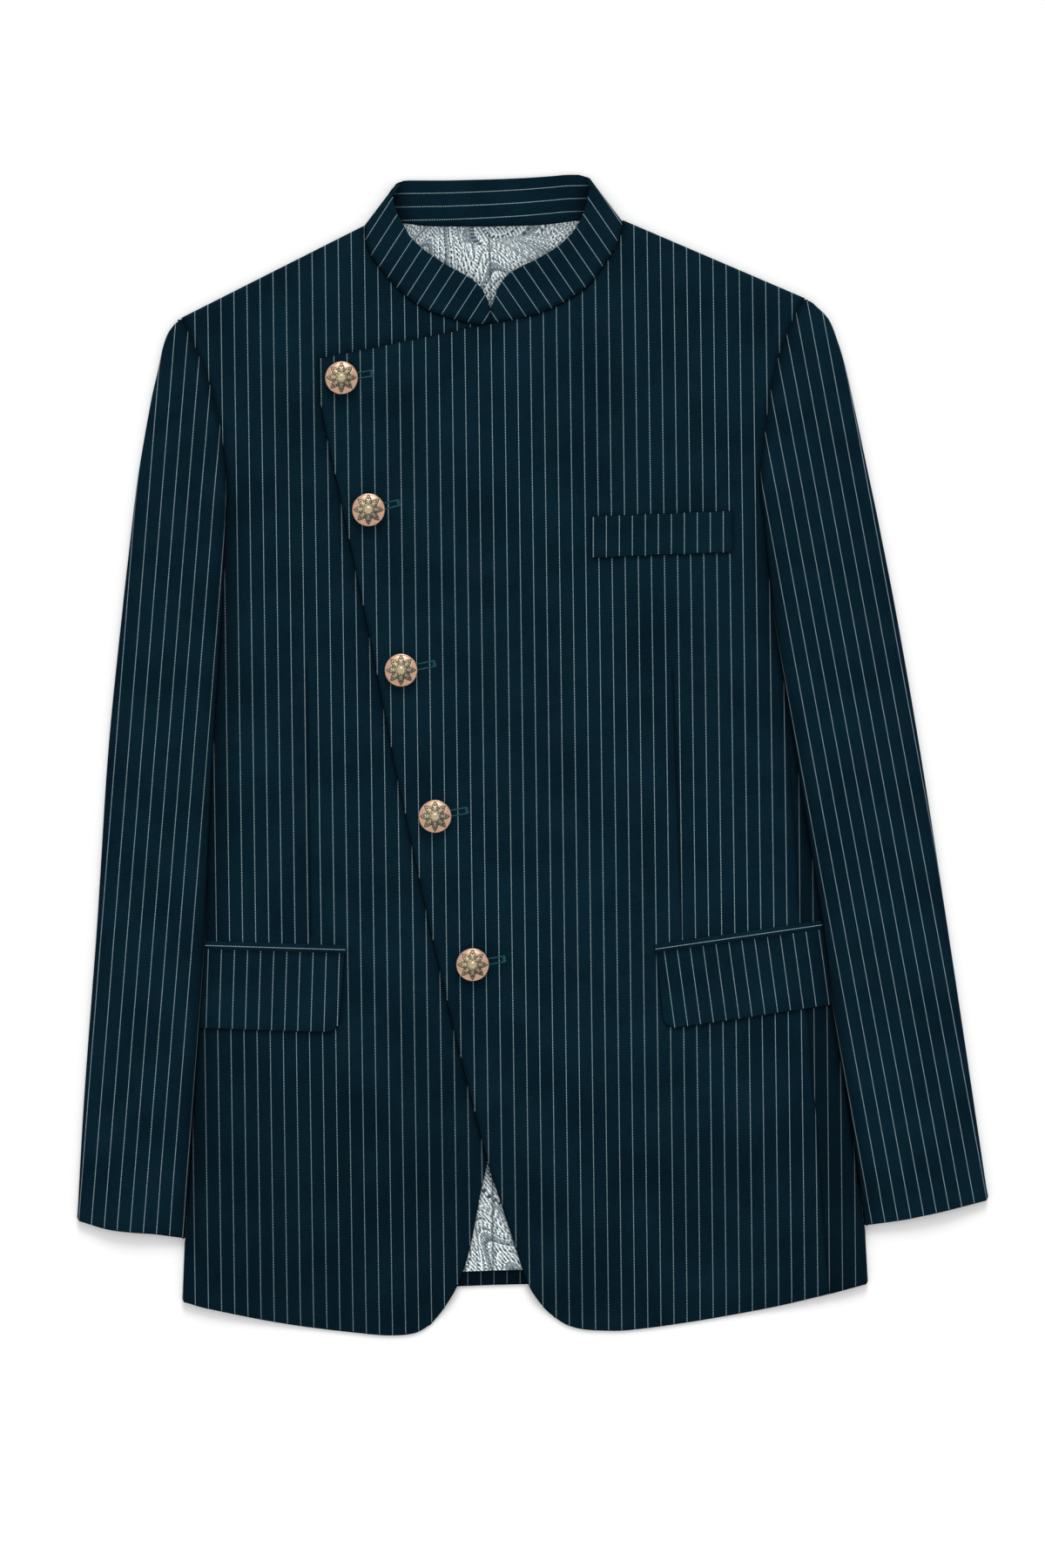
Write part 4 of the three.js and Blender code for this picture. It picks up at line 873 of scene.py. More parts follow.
def upper_sleeve(side):
    """A sleeve's upper piece: folded at both edges, open at the cuff, rolled into the armhole seam."""
    s, shows, outer, inner = sleeve_plan(side)
    out = s["out"]
    v = stretches((500, 150), (0, shows, 1), (SHELL_CELL, 3.0), (True, False))
    a, b = outer(v), inner(v)
    row = unit(b - a)
    near, far = outer(np.maximum(v - 0.01, 0)), outer(np.minimum(v + 0.01, 1))
    along = unit(far - near)
    wide = np.linalg.norm(b - a, axis=1)
    slant = np.abs(along[:, 0] * row[:, 1] - along[:, 1] * row[:, 0])
    reach = np.minimum(FOLD_RADIUS / slant, 0.5 * wide)
    wrap = np.minimum(SLEEVE_WRAP, 0.75 * wide)
    y = b[:, 1]
    climb = ease((y - s["inner"][0][1]) / CLIMB)
    sink = 1 - ease((y - s["seam_shows"][1]) / ARMHOLE_SINK_RUN)
    lift = SLEEVE_ON_BODY * climb * sink
    outer_fold = fold(a, row, FOLD_RADIUS, reach=reach, stops=[mix(reach, wrap, 0.5), wrap])
    # Towards the armhole the inner fold opens into a roll that ends in the seam.
    closing = ease((y - s["seam_shows"][1] + 28) / 28)
    start = np.maximum(np.abs(body_edge(side, y) - b[:, 0]) - 1, FOLD_RADIUS + 1)
    end = start + LIP_DROP
    stops = [start + LIP_DROP * t for t in (0, 0.25, 0.5, 0.75)] + [end, end + LIP_FLAT]

    def lip_height(run):
        return lift * ease((end - run) / LIP_DROP)

    inner_fold = fold(b, (out, 0), FOLD_RADIUS, lift=lift, stops=stops, under=lip_height)
    quarter = fold(b, (out, 0), FOLD_RADIUS, lift=lift, angle=math.pi / 2)
    seam_z = FRONT_TOP - 0.7
    top_z = lift + 2 * FOLD_RADIUS
    share = (quarter[..., 2] - quarter[:, -1:, 2]) / np.maximum(quarter[:, :1, 2] - quarter[:, -1:, 2], 1e-9)
    quarter[..., 2] = mix(seam_z, top_z[:, None], share)
    turned = inner_fold[:, : FOLD_TURN + 1]
    inner_fold[:, : FOLD_TURN + 1] = mix(turned, quarter, closing[:, None, None])
    lip = np.clip((np.abs(inner_fold[0, :, 0] - b[0, 0]) - FOLD_RADIUS) / LIP_DROP, 0, 1)
    under = (cuff_at(side, inner_fold[0, :, 0]) + CUFF_STEP * lip - inner_fold[0, :, 1]) * (lip > 0)
    inner_fold[..., 1] += under[None] * at_cuff(v)
    outer_fold[:, : FOLD_TURN + 1, 1] += corner_round(v)
    first, last = outer_fold[:, 0, :2], inner_fold[:, 0, :2]
    t = np.linspace(0, 1, SLEEVE_COLUMNS)[None]
    plan = mix(first[:, None], last[:, None], t[..., None])
    bow_line = curve(s["cuff"])(t[0])[:, 1] - mix(s["cuff"][0][1], s["cuff"][-1][1], t[0])
    plan[..., 1] += bow_line[None] * at_cuff(v)
    swell = np.minimum(SLEEVE_SWELL, wide * SLEEVE_SWELL_SHARE)[:, None] * np.sin(math.pi * t)
    rise = lift[:, None] * ease(1 - (1 - t) * wide[:, None] / SLEEVE_RISE_RUN)
    uneven = lay(plan[..., 0] * 1.7, plan[..., 1] * 1.2 + 90) * np.sin(math.pi * t) * ease(wide / 60)[:, None]
    face = raised(plan, 2 * FOLD_RADIUS + swell + rise + uneven)
    face[..., 2] -= pressed_edge(run_from(face, 0))
    outer_flat = unrolled(a + row * reach[:, None], -row, outer_fold)
    inner_flat = unrolled(last, (-out, 0), inner_fold)
    full = np.concatenate([outer_fold[:, :0:-1], face, inner_fold[:, 1:]], axis=1)
    flat = np.concatenate([outer_flat[:, :0:-1], plan, inner_flat[:, 1:]], axis=1)
    live = np.ones((len(v) - 1, full.shape[1] - 1), bool)
    lips = len(stops)
    live[np.searchsorted(v, shows - 1e-6) :, full.shape[1] - 1 - lips :] = False
    if out > 0:
        full, flat, live = full[:, ::-1], flat[:, ::-1], live[:, ::-1]
    stripes = on_grain("sleeve_" + side, flat)
    # Painted shade along the sleeve's inner edge, its armhole seam and its outer edge.
    lost = painted_shade_beside(
        full, (s["inner"], 6, 0.42), (s["inner"], 1.6, 0.85), (s["armhole"][3:], 3.5, 0.5),
        (s["outer"], 4, 0.2),
    )
    return cloth("upper_sleeve_" + side + "_cloth", full, stripes, SHELL_CLOTH, live, lost)


def under_sleeve(side):
    """A sleeve's under piece: flat on the surface between the upper piece's turned edges."""
    s, shows, outer, inner = sleeve_plan(side)
    out = s["out"]
    v = stretches((500, 150), (0, shows, 0.945), (6, 5), (True, False))
    a, b = outer(v), inner(v)
    wide = np.linalg.norm(b - a, axis=1)
    start = np.maximum(np.abs(body_edge(side, b[:, 1]) - b[:, 0]) - 1, FOLD_RADIUS + 1)
    inner_run = np.where(v <= shows + 1e-9, start + LIP_DROP + LIP_FLAT + 0.4, 1.0)
    first = a + unit(b - a) * (np.minimum(SLEEVE_WRAP, 0.75 * wide) + 0.4)[:, None]
    last = b + np.stack([out * inner_run, 0 * inner_run], axis=-1)
    u = shares(60, 5)
    plan = mix(first[:, None], last[:, None], u[None, :, None])
    drawn = cuff_at(side, plan[0, :, 0]) + CUFF_STEP - plan[0, :, 1]
    plan[..., 1] += drawn[None] * at_cuff(v)
    face = raised(plan, UNDER_SLEEVE_CLOTH)
    if out > 0:
        face, plan = face[:, ::-1], plan[:, ::-1]
    stripes = on_grain("sleeve_" + side, plan)
    return cloth("under_sleeve_" + side + "_cloth", face, stripes, UNDER_SLEEVE_CLOTH)


def collar():
    """The stand collar: one band, its front arms over its back, folded at each shoulder."""
    arm_top = 2 * COLLAR_FOLD_RADIUS

    def strip(columns, z, count):
        base, top = curve([c[0] for c in columns]), curve([c[1] for c in columns])
        s = np.linspace(0, 1, count)
        low = np.concatenate([base(s), np.full((count, 1), z)], axis=1)
        high = np.concatenate([top(s), np.full((count, 1), z)], axis=1)
        return low, high

    def turn(line, towards, ends):
        """A fold of the band; ends says how far its top stands up at its start, middle and end."""
        base, top = np.array(line[0]), np.array(line[1])
        fx, fy = unit(top - base)
        inward = (towards * fy, -towards * fx)
        rows = fold([base, top], inward, COLLAR_FOLD_RADIUS, turn=COLLAR_TURN)
        share = np.linspace(0, 1, COLLAR_TURN + 1)
        stands = np.interp(share, [0, 0.5, 1], ends)
        drops = np.interp(share, [0, 0.5, 1], [2.6, 0.4, 0])
        rows[1, :, :2] += stands[:, None] * np.array([fx, fy])
        rows[0, :, :2] -= drops[:, None] * np.array([fx, fy])
        return rows[0], rows[1]

    parts = [
        strip(COLLAR_ARM_RIGHT, arm_top, COLLAR_ARM_COLUMNS),
        turn(COLLAR_FOLD_RIGHT, 1, (-1.0, -2.2, 2.4)),
        strip(COLLAR_BACK, 0, COLLAR_BACK_COLUMNS),
        tuple(r[::-1] for r in turn(COLLAR_FOLD_LEFT, -1, (-0.6, -0.6, 3.7))),
        strip(COLLAR_ARM_LEFT, arm_top, COLLAR_ARM_COLUMNS),
    ]
    low = np.concatenate([p[0] for p in parts])
    high = np.concatenate([p[1] for p in parts])
    t = shares(36, 2.6)
    face = mix(low[:, None], high[:, None], t[None, :, None])
    height = np.linalg.norm(high - low, axis=1)[:, None] * t[None]
    on_arm = np.clip(low[:, 2] / COLLAR_FOLD_RADIUS - 1, 0, 1)[:, None]
    face[..., 2] += on_arm * 0.5 * np.sin(math.pi * t)[None]
    face[..., 2] -= on_arm * (pressed_edge(height[:, -1:] - height) + seam_sink(height, 0.8, 1.4))
    run = np.concatenate([[0], np.cumsum(np.linalg.norm(np.diff(low + high, axis=0), axis=1) / 2)])
    opened = np.stack([np.broadcast_to(run[:, None], height.shape), height], axis=-1)
    plan = face[..., :2]
    on_right = (np.arange(len(low)) < len(low) // 2)[:, None, None]
    arms = np.where(on_right, on_grain("collar_right", plan), on_grain("collar_left", plan))
    top_line = [(-93.3, 402.2)] + [c[1] for c in COLLAR_BACK] + [(39, 406.2)]
    band_top = np.interp(plan[..., 0], *np.array(top_line).T)
    across = np.clip((plan[..., 0] + 93) / 130, -0.1, 1.1)
    first_stripe, pitch = mix(8.7, 7.0, across), mix(BAND_PITCH, BAND_PITCH - 0.4, across)
    below = (band_top - plan[..., 1] - first_stripe) * STRIPE_PITCH / pitch
    band = np.stack([below, opened[..., 0]], axis=-1)
    # The band's own stripes begin half-way round each fold.
    first = COLLAR_ARM_COLUMNS + COLLAR_TURN // 2 + 1
    last = len(low) - first - 1
    cells = np.zeros((len(low) - 1, len(t) - 1), bool)
    cells[first:last] = True
    ends = [[(-97, 391), (-91.4, 371)], [(40, 392), (34, 373)]]
    meeting = [(-29.05, 300), (-29.05, 312)]
    # Painted shade in the back band beside the arms' ends and under the neck, and on the arms along their
    # neck seams and where they meet.
    in_band = painted_shade_beside(face, (ends[0], 9, 0.7), (ends[1], 9, 0.7), (BACK_NECK, 3, 0.45))
    on_seam = painted_shade_beside(face, (RIGHT_NECK, 2.2, 0.45), (LEFT_NECK, 2.2, 0.45), (meeting, 2, 0.6))
    lost = np.where(low[:, 2:] > COLLAR_FOLD_RADIUS, on_seam, in_band)
    return cloth("collar_cloth", face, arms, COLLAR_CLOTH, painted_shade=lost, other=(cells, band))


def pocket_place(flap, s, t):
    """Along a pocket: s runs from the front corner to the side, t from the top edge down."""
    angle = math.radians(flap["tilt"])
    out = flap["out"]
    along = np.array([out * math.cos(angle), out * math.sin(angle)])
    down = np.array([math.sin(angle), -math.cos(angle)])
    return np.array(flap["corner"]) + s[..., None] * along + t[..., None] * down


def run_to_sleeve(side, flap, t):
    """A pocket piece runs on until it reaches the sleeve that lies over its end."""
    run = np.full(np.shape(t), 60.0)
    for _ in range(24):
        at = pocket_place(flap, run, t)
        run += flap["out"] * (sleeve_inner[side](at[..., 1]) - at[..., 0]) - 0.1
    return run


def pocket_outline(side):
    """The outline of a flap in plan, from its top end at the side round to the other end of its top edge."""
    flap = FLAPS[side]
    far = 90.0
    deep = flap["depth"]
    outline = [
        (far, deep), (FLAP_ROUND + 2, deep), (3.5, deep - 3.5), (2, deep - FLAP_ROUND), (0, 0), (far, 0),
    ]
    return [tuple(pocket_place(flap, np.array(a), np.array(b))) for a, b in outline]


def welt_outline():
    """The outline of the breast welt in plan."""
    x, y = WELT["corner"]
    across, deep = WELT["width"], WELT["depth"]
    rise = across * math.tan(math.radians(WELT["tilt"]))
    return [(x, y), (x + across, y + rise), (x + across, y + rise + deep), (x, y + deep), (x, y)]


def pocket_flap(side):
    """A hip flap, with its front foot corner rounded, running on under the sleeve's edge."""
    flap = FLAPS[side]
    face_at = overlap_face if side == "left" else front_face
    turned = np.linspace(0, 1, 15)
    stations = np.concatenate([turned, 1 + shares(90, POCKET_CELL, 0, 1, (False, True))[1:]])
    v = shares(flap["depth"], 3.0)
    bend = math.pi / 2 * np.minimum(stations, 1)
    low = flap["depth"] - FLAP_ROUND * (1 - np.sin(bend))
    t = low[None] * (1 - v[:, None])
    lean = flap["lean"] * t / flap["depth"]
    front = FLAP_ROUND * (1 - np.cos(bend))[None] + lean
    rest = np.maximum(0, stations - 1)[None]
    s = mix(front, run_to_sleeve(side, flap, t), rest)
    plan = pocket_place(flap, s, t)
    x, y = plan[..., 0], plan[..., 1]
    belly = 0.5 * np.sin(math.pi * np.clip(t / flap["depth"], 0, 1)) * ease((s - 2) / 14)
    height = face_at(x, y) + ON_PANEL_GAP + POCKET_CLOTH + belly
    height -= seam_sink(t, 0.5, 1.6)
    from_front, from_foot = s - lean, flap["depth"] - t
    in_corner = (from_front < FLAP_ROUND) & (from_foot < FLAP_ROUND)
    from_round = FLAP_ROUND - np.hypot(FLAP_ROUND - from_front, FLAP_ROUND - from_foot)
    height -= pressed_edge(np.where(in_corner, from_round, np.minimum(from_front, from_foot)))
    face = raised(plan, height)
    if flap["out"] < 0:
        face, plan = face[:, ::-1], plan[:, ::-1]
    stripes = on_grain("flap_" + side, plan)
    # Painted shade along the flap's top and beside the sleeve's edge.
    lost = painted_shade_beside(face, (pocket_outline(side)[-2:], 2.4, 0.5), (SLEEVES[side]["inner"], 6, 0.4))
    return cloth("flap_" + side + "_cloth", face, stripes, POCKET_CLOTH, painted_shade=lost)


def pocket_jet(side):
    """The jet over a flap: a narrow rolled strip, cut so that one white stripe runs along it."""
    flap = FLAPS[side]
    face_at = overlap_face if side == "left" else front_face
    share = shares(100, POCKET_CELL)
    down = -np.linspace(0.1, JET_DEPTH, 11)
    t = np.broadcast_to(down[:, None], (len(down), len(share)))
    s = mix(np.full(t.shape, -1.0), run_to_sleeve(side, flap, t), share[None])
    plan = pocket_place(flap, s, t)
    x, y = plan[..., 0], plan[..., 1]
    roll = np.sin(math.pi * np.clip((-t) / JET_DEPTH, 0, 1)) ** 0.7
    height = face_at(x, y) + ON_PANEL_GAP + JET_CLOTH - 0.55 + 0.75 * roll
    face = raised(plan, height)
    stripes = np.stack([-t - JET_DEPTH / 2, s], axis=-1)
    if flap["out"] < 0:
        face, stripes = face[:, ::-1], stripes[:, ::-1]
    return cloth("jet_" + side + "_cloth", face, stripes, JET_CLOTH)


def breast_welt():
    """The breast welt: sewn down at its foot and ends, open at its pressed top edge."""
    angle = math.radians(WELT["tilt"])
    u, v = shares(WELT["width"], POCKET_CELL), shares(WELT["depth"], 2.6)
    foot = np.array(WELT["corner"]) + (u * WELT["width"])[:, None] * [math.cos(angle), math.sin(angle)]
    plan = foot[None] + np.stack([np.zeros(len(v)), v * WELT["depth"]], axis=-1)[:, None]
    height = overlap_face(plan[..., 0], plan[..., 1]) + ON_PANEL_GAP + POCKET_CLOTH
    face = raised(plan, height)
    ends = np.minimum(run_from(face, 1), run_from(face, 1, True))
    face[..., 2] -= seam_sink(run_from(face, 0), 0.5, 1.5) + seam_sink(ends, 0.4, 1.3)
    face[..., 2] -= pressed_edge(run_from(face, 0, True))
    return cloth("welt_breast_cloth", face, on_grain("welt", plan), POCKET_CLOTH)


class Graph:
    """Short-hand for building a node tree."""

    def __init__(self, tree):
        self.tree = tree

    def put(self, kind, feeds=None, **settings):
        node = self.tree.nodes.new(kind)
        for key, value in settings.items():
            setattr(node, key, value)
        for key, value in (feeds or {}).items():
            self.feed(node.inputs[key], value)
        return node

    def feed(self, socket, value):
        if isinstance(value, bpy.types.NodeSocket):
            self.tree.links.new(value, socket)
        else:
            socket.default_value = value

    def calc(self, operation, *values):
        node = self.put("ShaderNodeMath", operation=operation)
        for socket, value in zip(node.inputs, values):
            self.feed(socket, value)
        return node.outputs[0]

    def ramp(self, value, low, high, start=0.0, end=1.0):
        feeds = {"Value": value, "From Min": low, "From Max": high, "To Min": start, "To Max": end}
        return self.put("ShaderNodeMapRange", feeds, interpolation_type="SMOOTHSTEP").outputs["Result"]

    def noise(self, place, scale, detail=2.0):
        feeds = {"Vector": place, "Scale": scale, "Detail": detail}
        return self.put("ShaderNodeTexNoise", feeds).outputs["Fac"]

    def mark(self, name):
        return self.put("ShaderNodeAttribute", attribute_name=name).outputs["Fac"]

    def bump(self, height, strength, distance):
        feeds = {"Strength": strength, "Distance": distance, "Height": height}
        return self.put("ShaderNodeBump", feeds).outputs[0]

    def blend(self, share, first, second):
        node = self.put("ShaderNodeMix", data_type="RGBA")
        self.feed(node.inputs[0], share)
        self.feed(node.inputs[6], first)
        self.feed(node.inputs[7], second)
        return node.outputs[2]

    def scaled(self, place, factors):
        return self.put("ShaderNodeVectorMath", {0: place, 1: factors}, operation="MULTIPLY").outputs[0]

    def parts(self, place):
        return self.put("ShaderNodeSeparateXYZ", {0: place}).outputs

    def joined(self, x, y):
        return self.put("ShaderNodeCombineXYZ", {0: x, 1: y}).outputs[0]

    def use(self, group, feeds):
        node = self.put("ShaderNodeGroup", node_tree=group)
        for key, value in feeds.items():
            self.feed(node.inputs[key], value)
        return node.outputs


def node_group(name, inputs, outputs, kind="ShaderNodeTree"):
    tree = bpy.data.node_groups.new(name, kind)
    for label, socket, value in inputs:
        made = tree.interface.new_socket(label, in_out="INPUT", socket_type=socket)
        if value is not None:
            made.default_value = value
    for label, socket in outputs:
        tree.interface.new_socket(label, in_out="OUTPUT", socket_type=socket)
    graph = Graph(tree)
    return tree, graph, graph.put("NodeGroupInput").outputs, graph.put("NodeGroupOutput").inputs


FLOAT, VECTOR = "NodeSocketFloat", "NodeSocketVector"


def pin_dot_group():
    """Rows of pin dots at an even pitch, with the small differences from dot to dot."""
    tree, g, given, out = node_group(
        "Pin dot stripes",
        [("Cloth", VECTOR, None), ("Pitch", FLOAT, STRIPE_PITCH), ("Dot step", FLOAT, 1.08),
         ("Dot width", FLOAT, 0.56), ("Dot length", FLOAT, 0.6)],
        [("Dots", FLOAT), ("Line", FLOAT)],
    )
    across, along, _ = g.parts(given["Cloth"])
    off = g.calc("PINGPONG", across, g.calc("MULTIPLY", given["Pitch"], 0.5))
    row = g.calc("ROUND", g.calc("DIVIDE", across, given["Pitch"]))
    dot = g.calc("FLOOR", g.calc("DIVIDE", along, given["Dot step"]))
    step = g.calc("SUBTRACT", g.calc("DIVIDE", along, given["Dot step"]), dot)
    from_middle = g.calc("MULTIPLY", g.calc("ABSOLUTE", g.calc("SUBTRACT", step, 0.5)), given["Dot step"])
    wide = g.calc("DIVIDE", off, g.calc("MULTIPLY", given["Dot width"], 0.5))
    tall = g.calc("DIVIDE", from_middle, g.calc("MULTIPLY", given["Dot length"], 0.5))
    from_dot = g.calc("SQRT", g.calc("ADD", g.calc("MULTIPLY", wide, wide), g.calc("MULTIPLY", tall, tall)))
    shade = g.put("ShaderNodeTexWhiteNoise", {0: g.joined(row, dot)}, noise_dimensions="2D").outputs["Value"]
    worn = g.ramp(shade, 0.0, 1.0, 0.78, 1.0)
    g.feed(out["Dots"], g.calc("MULTIPLY", g.ramp(from_dot, 1.15, 0.8), worn))
    g.feed(out["Line"], g.ramp(off, given["Dot width"], 0.1))
    return tree


def twill_group():
    """A fine twill: slanting ribs crossed by single yarns, with slubs and a light nap."""
    tree, g, given, out = node_group(
        "Fine twill",
        [("Cloth", VECTOR, None), ("Rib pitch", FLOAT, 1.25)],
        [("Relief", FLOAT), ("Shade", FLOAT), ("Nap", FLOAT)],
    )
    place = given["Cloth"]
    x, y, _ = g.parts(place)
    waver = g.calc("MULTIPLY", g.noise(place, 0.9), 0.35)
    slant = g.calc("ADD", g.calc("ADD", g.calc("MULTIPLY", x, 0.87), g.calc("MULTIPLY", y, 0.5)), waver)
    rib = g.calc("SINE", g.calc("DIVIDE", g.calc("MULTIPLY", slant, 2 * math.pi), given["Rib pitch"]))
    crossing = [g.calc("SINE", g.calc("MULTIPLY", axis, 14.5)) for axis in (x, y)]
    yarn = g.calc("MULTIPLY", *crossing)
    slub = g.noise(g.scaled(place, (2.4, 0.14, 1.0)), 1.0)
    cross_slub = g.noise(g.scaled(place, (0.12, 2.1, 1.0)), 1.0)
    nap = g.noise(place, 3.2, 5.0)
    relief = g.calc("ADD", g.calc("MULTIPLY", rib, 0.5), g.calc("MULTIPLY", yarn, 0.3))
    g.feed(out["Relief"], g.calc("ADD", relief, g.calc("MULTIPLY", nap, 0.8)))
    tone = g.calc("ADD", g.calc("MULTIPLY", slub, 0.5), g.calc("MULTIPLY", cross_slub, 0.5))
    patchy = g.noise(place, 0.022, 3.0)
    mixed = g.calc("ADD", g.calc("MULTIPLY", tone, 0.55), g.calc("MULTIPLY", patchy, 0.45))
    g.feed(out["Shade"], g.ramp(g.calc("ADD", mixed, g.calc("MULTIPLY", rib, 0.09)), 0.28, 0.72))
    g.feed(out["Nap"], nap)
    return tree


def jacquard_group():
    """A lining jacquard: curled drops ringed with stippled lines, over ribbed and speckled ground."""
    tree, g, given, out = node_group(
        "Drop jacquard",
        [("Cloth", VECTOR, None), ("Repeat", FLOAT, 58.0)],
        [("Light", FLOAT), ("Dark", FLOAT), ("Relief", FLOAT)],
    )
    feeds = {"Vector": given["Cloth"], "Scale": 0.02, "Detail": 1.0}
    bent = g.put("ShaderNodeTexNoise", feeds).outputs["Color"]
    sway = g.scaled(bent, (34.0, 34.0, 0.0))
    place = g.put("ShaderNodeVectorMath", {0: given["Cloth"], 1: sway}, operation="ADD").outputs[0]
    x, y, _ = g.parts(place)
    u, v = g.calc("DIVIDE", x, given["Repeat"]), g.calc("DIVIDE", y, g.calc("MULTIPLY", given["Repeat"], 1.3))
    column = g.calc("FLOOR", u)
    odd = g.calc("PINGPONG", column, 1.0)
    v = g.calc("ADD", v, g.calc("MULTIPLY", odd, 0.5))
    a = g.calc("SUBTRACT", g.calc("SUBTRACT", u, column), 0.5)
    b = g.calc("MULTIPLY", g.calc("SUBTRACT", g.calc("SUBTRACT", v, g.calc("FLOOR", v)), 0.5), 1.3)
    a = g.calc("MULTIPLY", a, g.calc("SUBTRACT", g.calc("MULTIPLY", odd, 2.0), 1.0))
    # The drop narrows upwards and its tip curls over.
    up = g.calc("ADD", b, 0.22)
    curl = g.calc("SUBTRACT", a, g.calc("MULTIPLY", g.calc("MULTIPLY", up, up), 0.5))
    girth = g.calc("MAXIMUM", g.calc("SUBTRACT", 1.0, g.calc("MULTIPLY", up, 0.9)), 0.15)
    narrow = g.calc("DIVIDE", curl, girth)
    lengthwise = g.calc("MULTIPLY", g.calc("MULTIPLY", up, up), 0.42)
    reach = g.calc("SQRT", g.calc("ADD", g.calc("MULTIPLY", narrow, narrow), lengthwise))
    # Rings one behind another, each of its own weave.
    ring = g.calc("MULTIPLY", reach, 12.5)
    number = g.calc("FLOOR", ring)
    within = g.calc("SUBTRACT", ring, number)
    kind = g.put("ShaderNodeTexWhiteNoise", {1: number}, noise_dimensions="1D").outputs["Value"]
    edge = g.ramp(g.calc("ABSOLUTE", g.calc("SUBTRACT", within, 0.5)), 0.40, 0.46)
    angle = g.calc("ARCTAN2", up, narrow)
    round_ring = g.calc("ADD", g.calc("MULTIPLY", number, 11.0), 10.0)
    beads = g.ramp(g.calc("SINE", g.calc("MULTIPLY", angle, round_ring)), -0.2, 0.3)
    pearl = g.calc("MULTIPLY", g.ramp(g.calc("ABSOLUTE", g.calc("SUBTRACT", within, 0.26)), 0.2, 0.11), beads)
    fine_x, fine_y, _ = g.parts(given["Cloth"])
    lean = g.calc("SUBTRACT", g.calc("MULTIPLY", kind, 5.0), 2.5)
    slant = g.calc("ADD", g.calc("MULTIPLY", fine_x, 2.3), g.calc("MULTIPLY", fine_y, lean))
    rib = g.ramp(g.calc("SINE", slant), -0.4, 0.6)
    ribbed = g.calc("MULTIPLY", rib, g.ramp(kind, 0.45, 0.5))
    cell = g.put("ShaderNodeTexVoronoi", {"Vector": g.scaled(given["Cloth"], (1.0, 0.8, 1.0)), "Scale": 0.8})
    speck = g.ramp(cell.outputs["Distance"], 0.5, 0.1)
    salt = g.noise(given["Cloth"], 0.85, 3.0)
    light = g.calc("ADD", g.calc("MULTIPLY", ribbed, 0.5), g.calc("MULTIPLY", speck, 0.45))
    light = g.calc("ADD", light, g.calc("MULTIPLY", g.calc("SUBTRACT", salt, 0.5), 1.4))
    light = g.calc("MAXIMUM", light, g.calc("MULTIPLY", edge, g.calc("SUBTRACT", 1.0, beads)))
    g.feed(out["Light"], g.ramp(light, 0.05, 0.68))
    streak = g.ramp(g.noise(g.scaled(given["Cloth"], (1.5, 0.5, 1.0)), 1.0, 2.0), 0.57, 0.66)
    darkness = g.calc("MAXIMUM", pearl, g.calc("MULTIPLY", streak, 0.75))
    g.feed(out["Dark"], g.calc("MULTIPLY", darkness, g.ramp(salt, 0.3, 0.5, 0.45, 1.0)))
    g.feed(out["Relief"], g.calc("SUBTRACT", light, pearl))
    return tree


def new_material(name):
    material = bpy.data.materials.new(name)
    material.use_nodes = True
    graph = Graph(material.node_tree)
    return material, graph, material.node_tree.nodes["Principled BSDF"].inputs


def grey(value):
    return (value, value, value, 1.0)


def suiting_material(groups):
    material, g, surface = new_material("Teal pinstripe suiting")
    place = g.put("ShaderNodeUVMap", uv_map="Cloth").outputs[0]
    stripes = g.use(groups["dots"], {"Cloth": place})
    weave = g.use(groups["twill"], {"Cloth": place})
    ground = g.blend(weave["Shade"], (0.0004, 0.0062, 0.0124, 1), (0.0026, 0.0168, 0.0278, 1))
    ground = g.blend(g.calc("MULTIPLY", stripes["Line"], 0.3), ground, (0.006, 0.024, 0.034, 1))
    yarn = g.blend(weave["Nap"], (0.29, 0.42, 0.47, 1), (0.50, 0.66, 0.72, 1))
    striped = g.blend(stripes["Dots"], ground, yarn)
    # Painted shade: the colour goes towards near-black by each point's painted shade mark.
    g.feed(surface["Base Color"], g.blend(g.mark("painted_shade"), striped, (0.0001, 0.0006, 0.0015, 1)))
    g.feed(surface["Roughness"], g.ramp(weave["Nap"], 0.2, 0.8, 0.82, 0.96))
    surface["Specular IOR Level"].default_value = 0.03
    relief = g.calc("ADD", weave["Relief"], g.calc("MULTIPLY", stripes["Dots"], 0.8))
    g.feed(surface["Normal"], g.bump(relief, 0.5, 0.00012))
    return material


def lining_material(groups):
    material, g, surface = new_material("Silver jacquard lining")
    place = g.put("ShaderNodeUVMap", uv_map="Cloth").outputs[0]
    woven = g.use(groups["jacquard"], {"Cloth": place})
    cloudy = g.noise(place, 0.05, 2.0)
    colour = g.blend(woven["Light"], (0.14, 0.195, 0.22, 1), (0.93, 1.0, 1.0, 1))
    colour = g.blend(g.calc("MULTIPLY", cloudy, 0.15), colour, (0.46, 0.50, 0.52, 1))
    colour = g.blend(woven["Dark"], colour, (0.018, 0.034, 0.042, 1))
    # Painted shade: the lining's colour darkens by each point's painted shade mark.
    g.feed(surface["Base Color"], g.blend(g.mark("painted_shade"), colour, (0.012, 0.03, 0.038, 1)))
    g.feed(surface["Roughness"], g.ramp(woven["Light"], 0.0, 1.0, 0.6, 0.42))
    surface["Specular IOR Level"].default_value = 0.3
    g.feed(surface["Normal"], g.bump(woven["Relief"], 0.5, 0.0001))
    return material


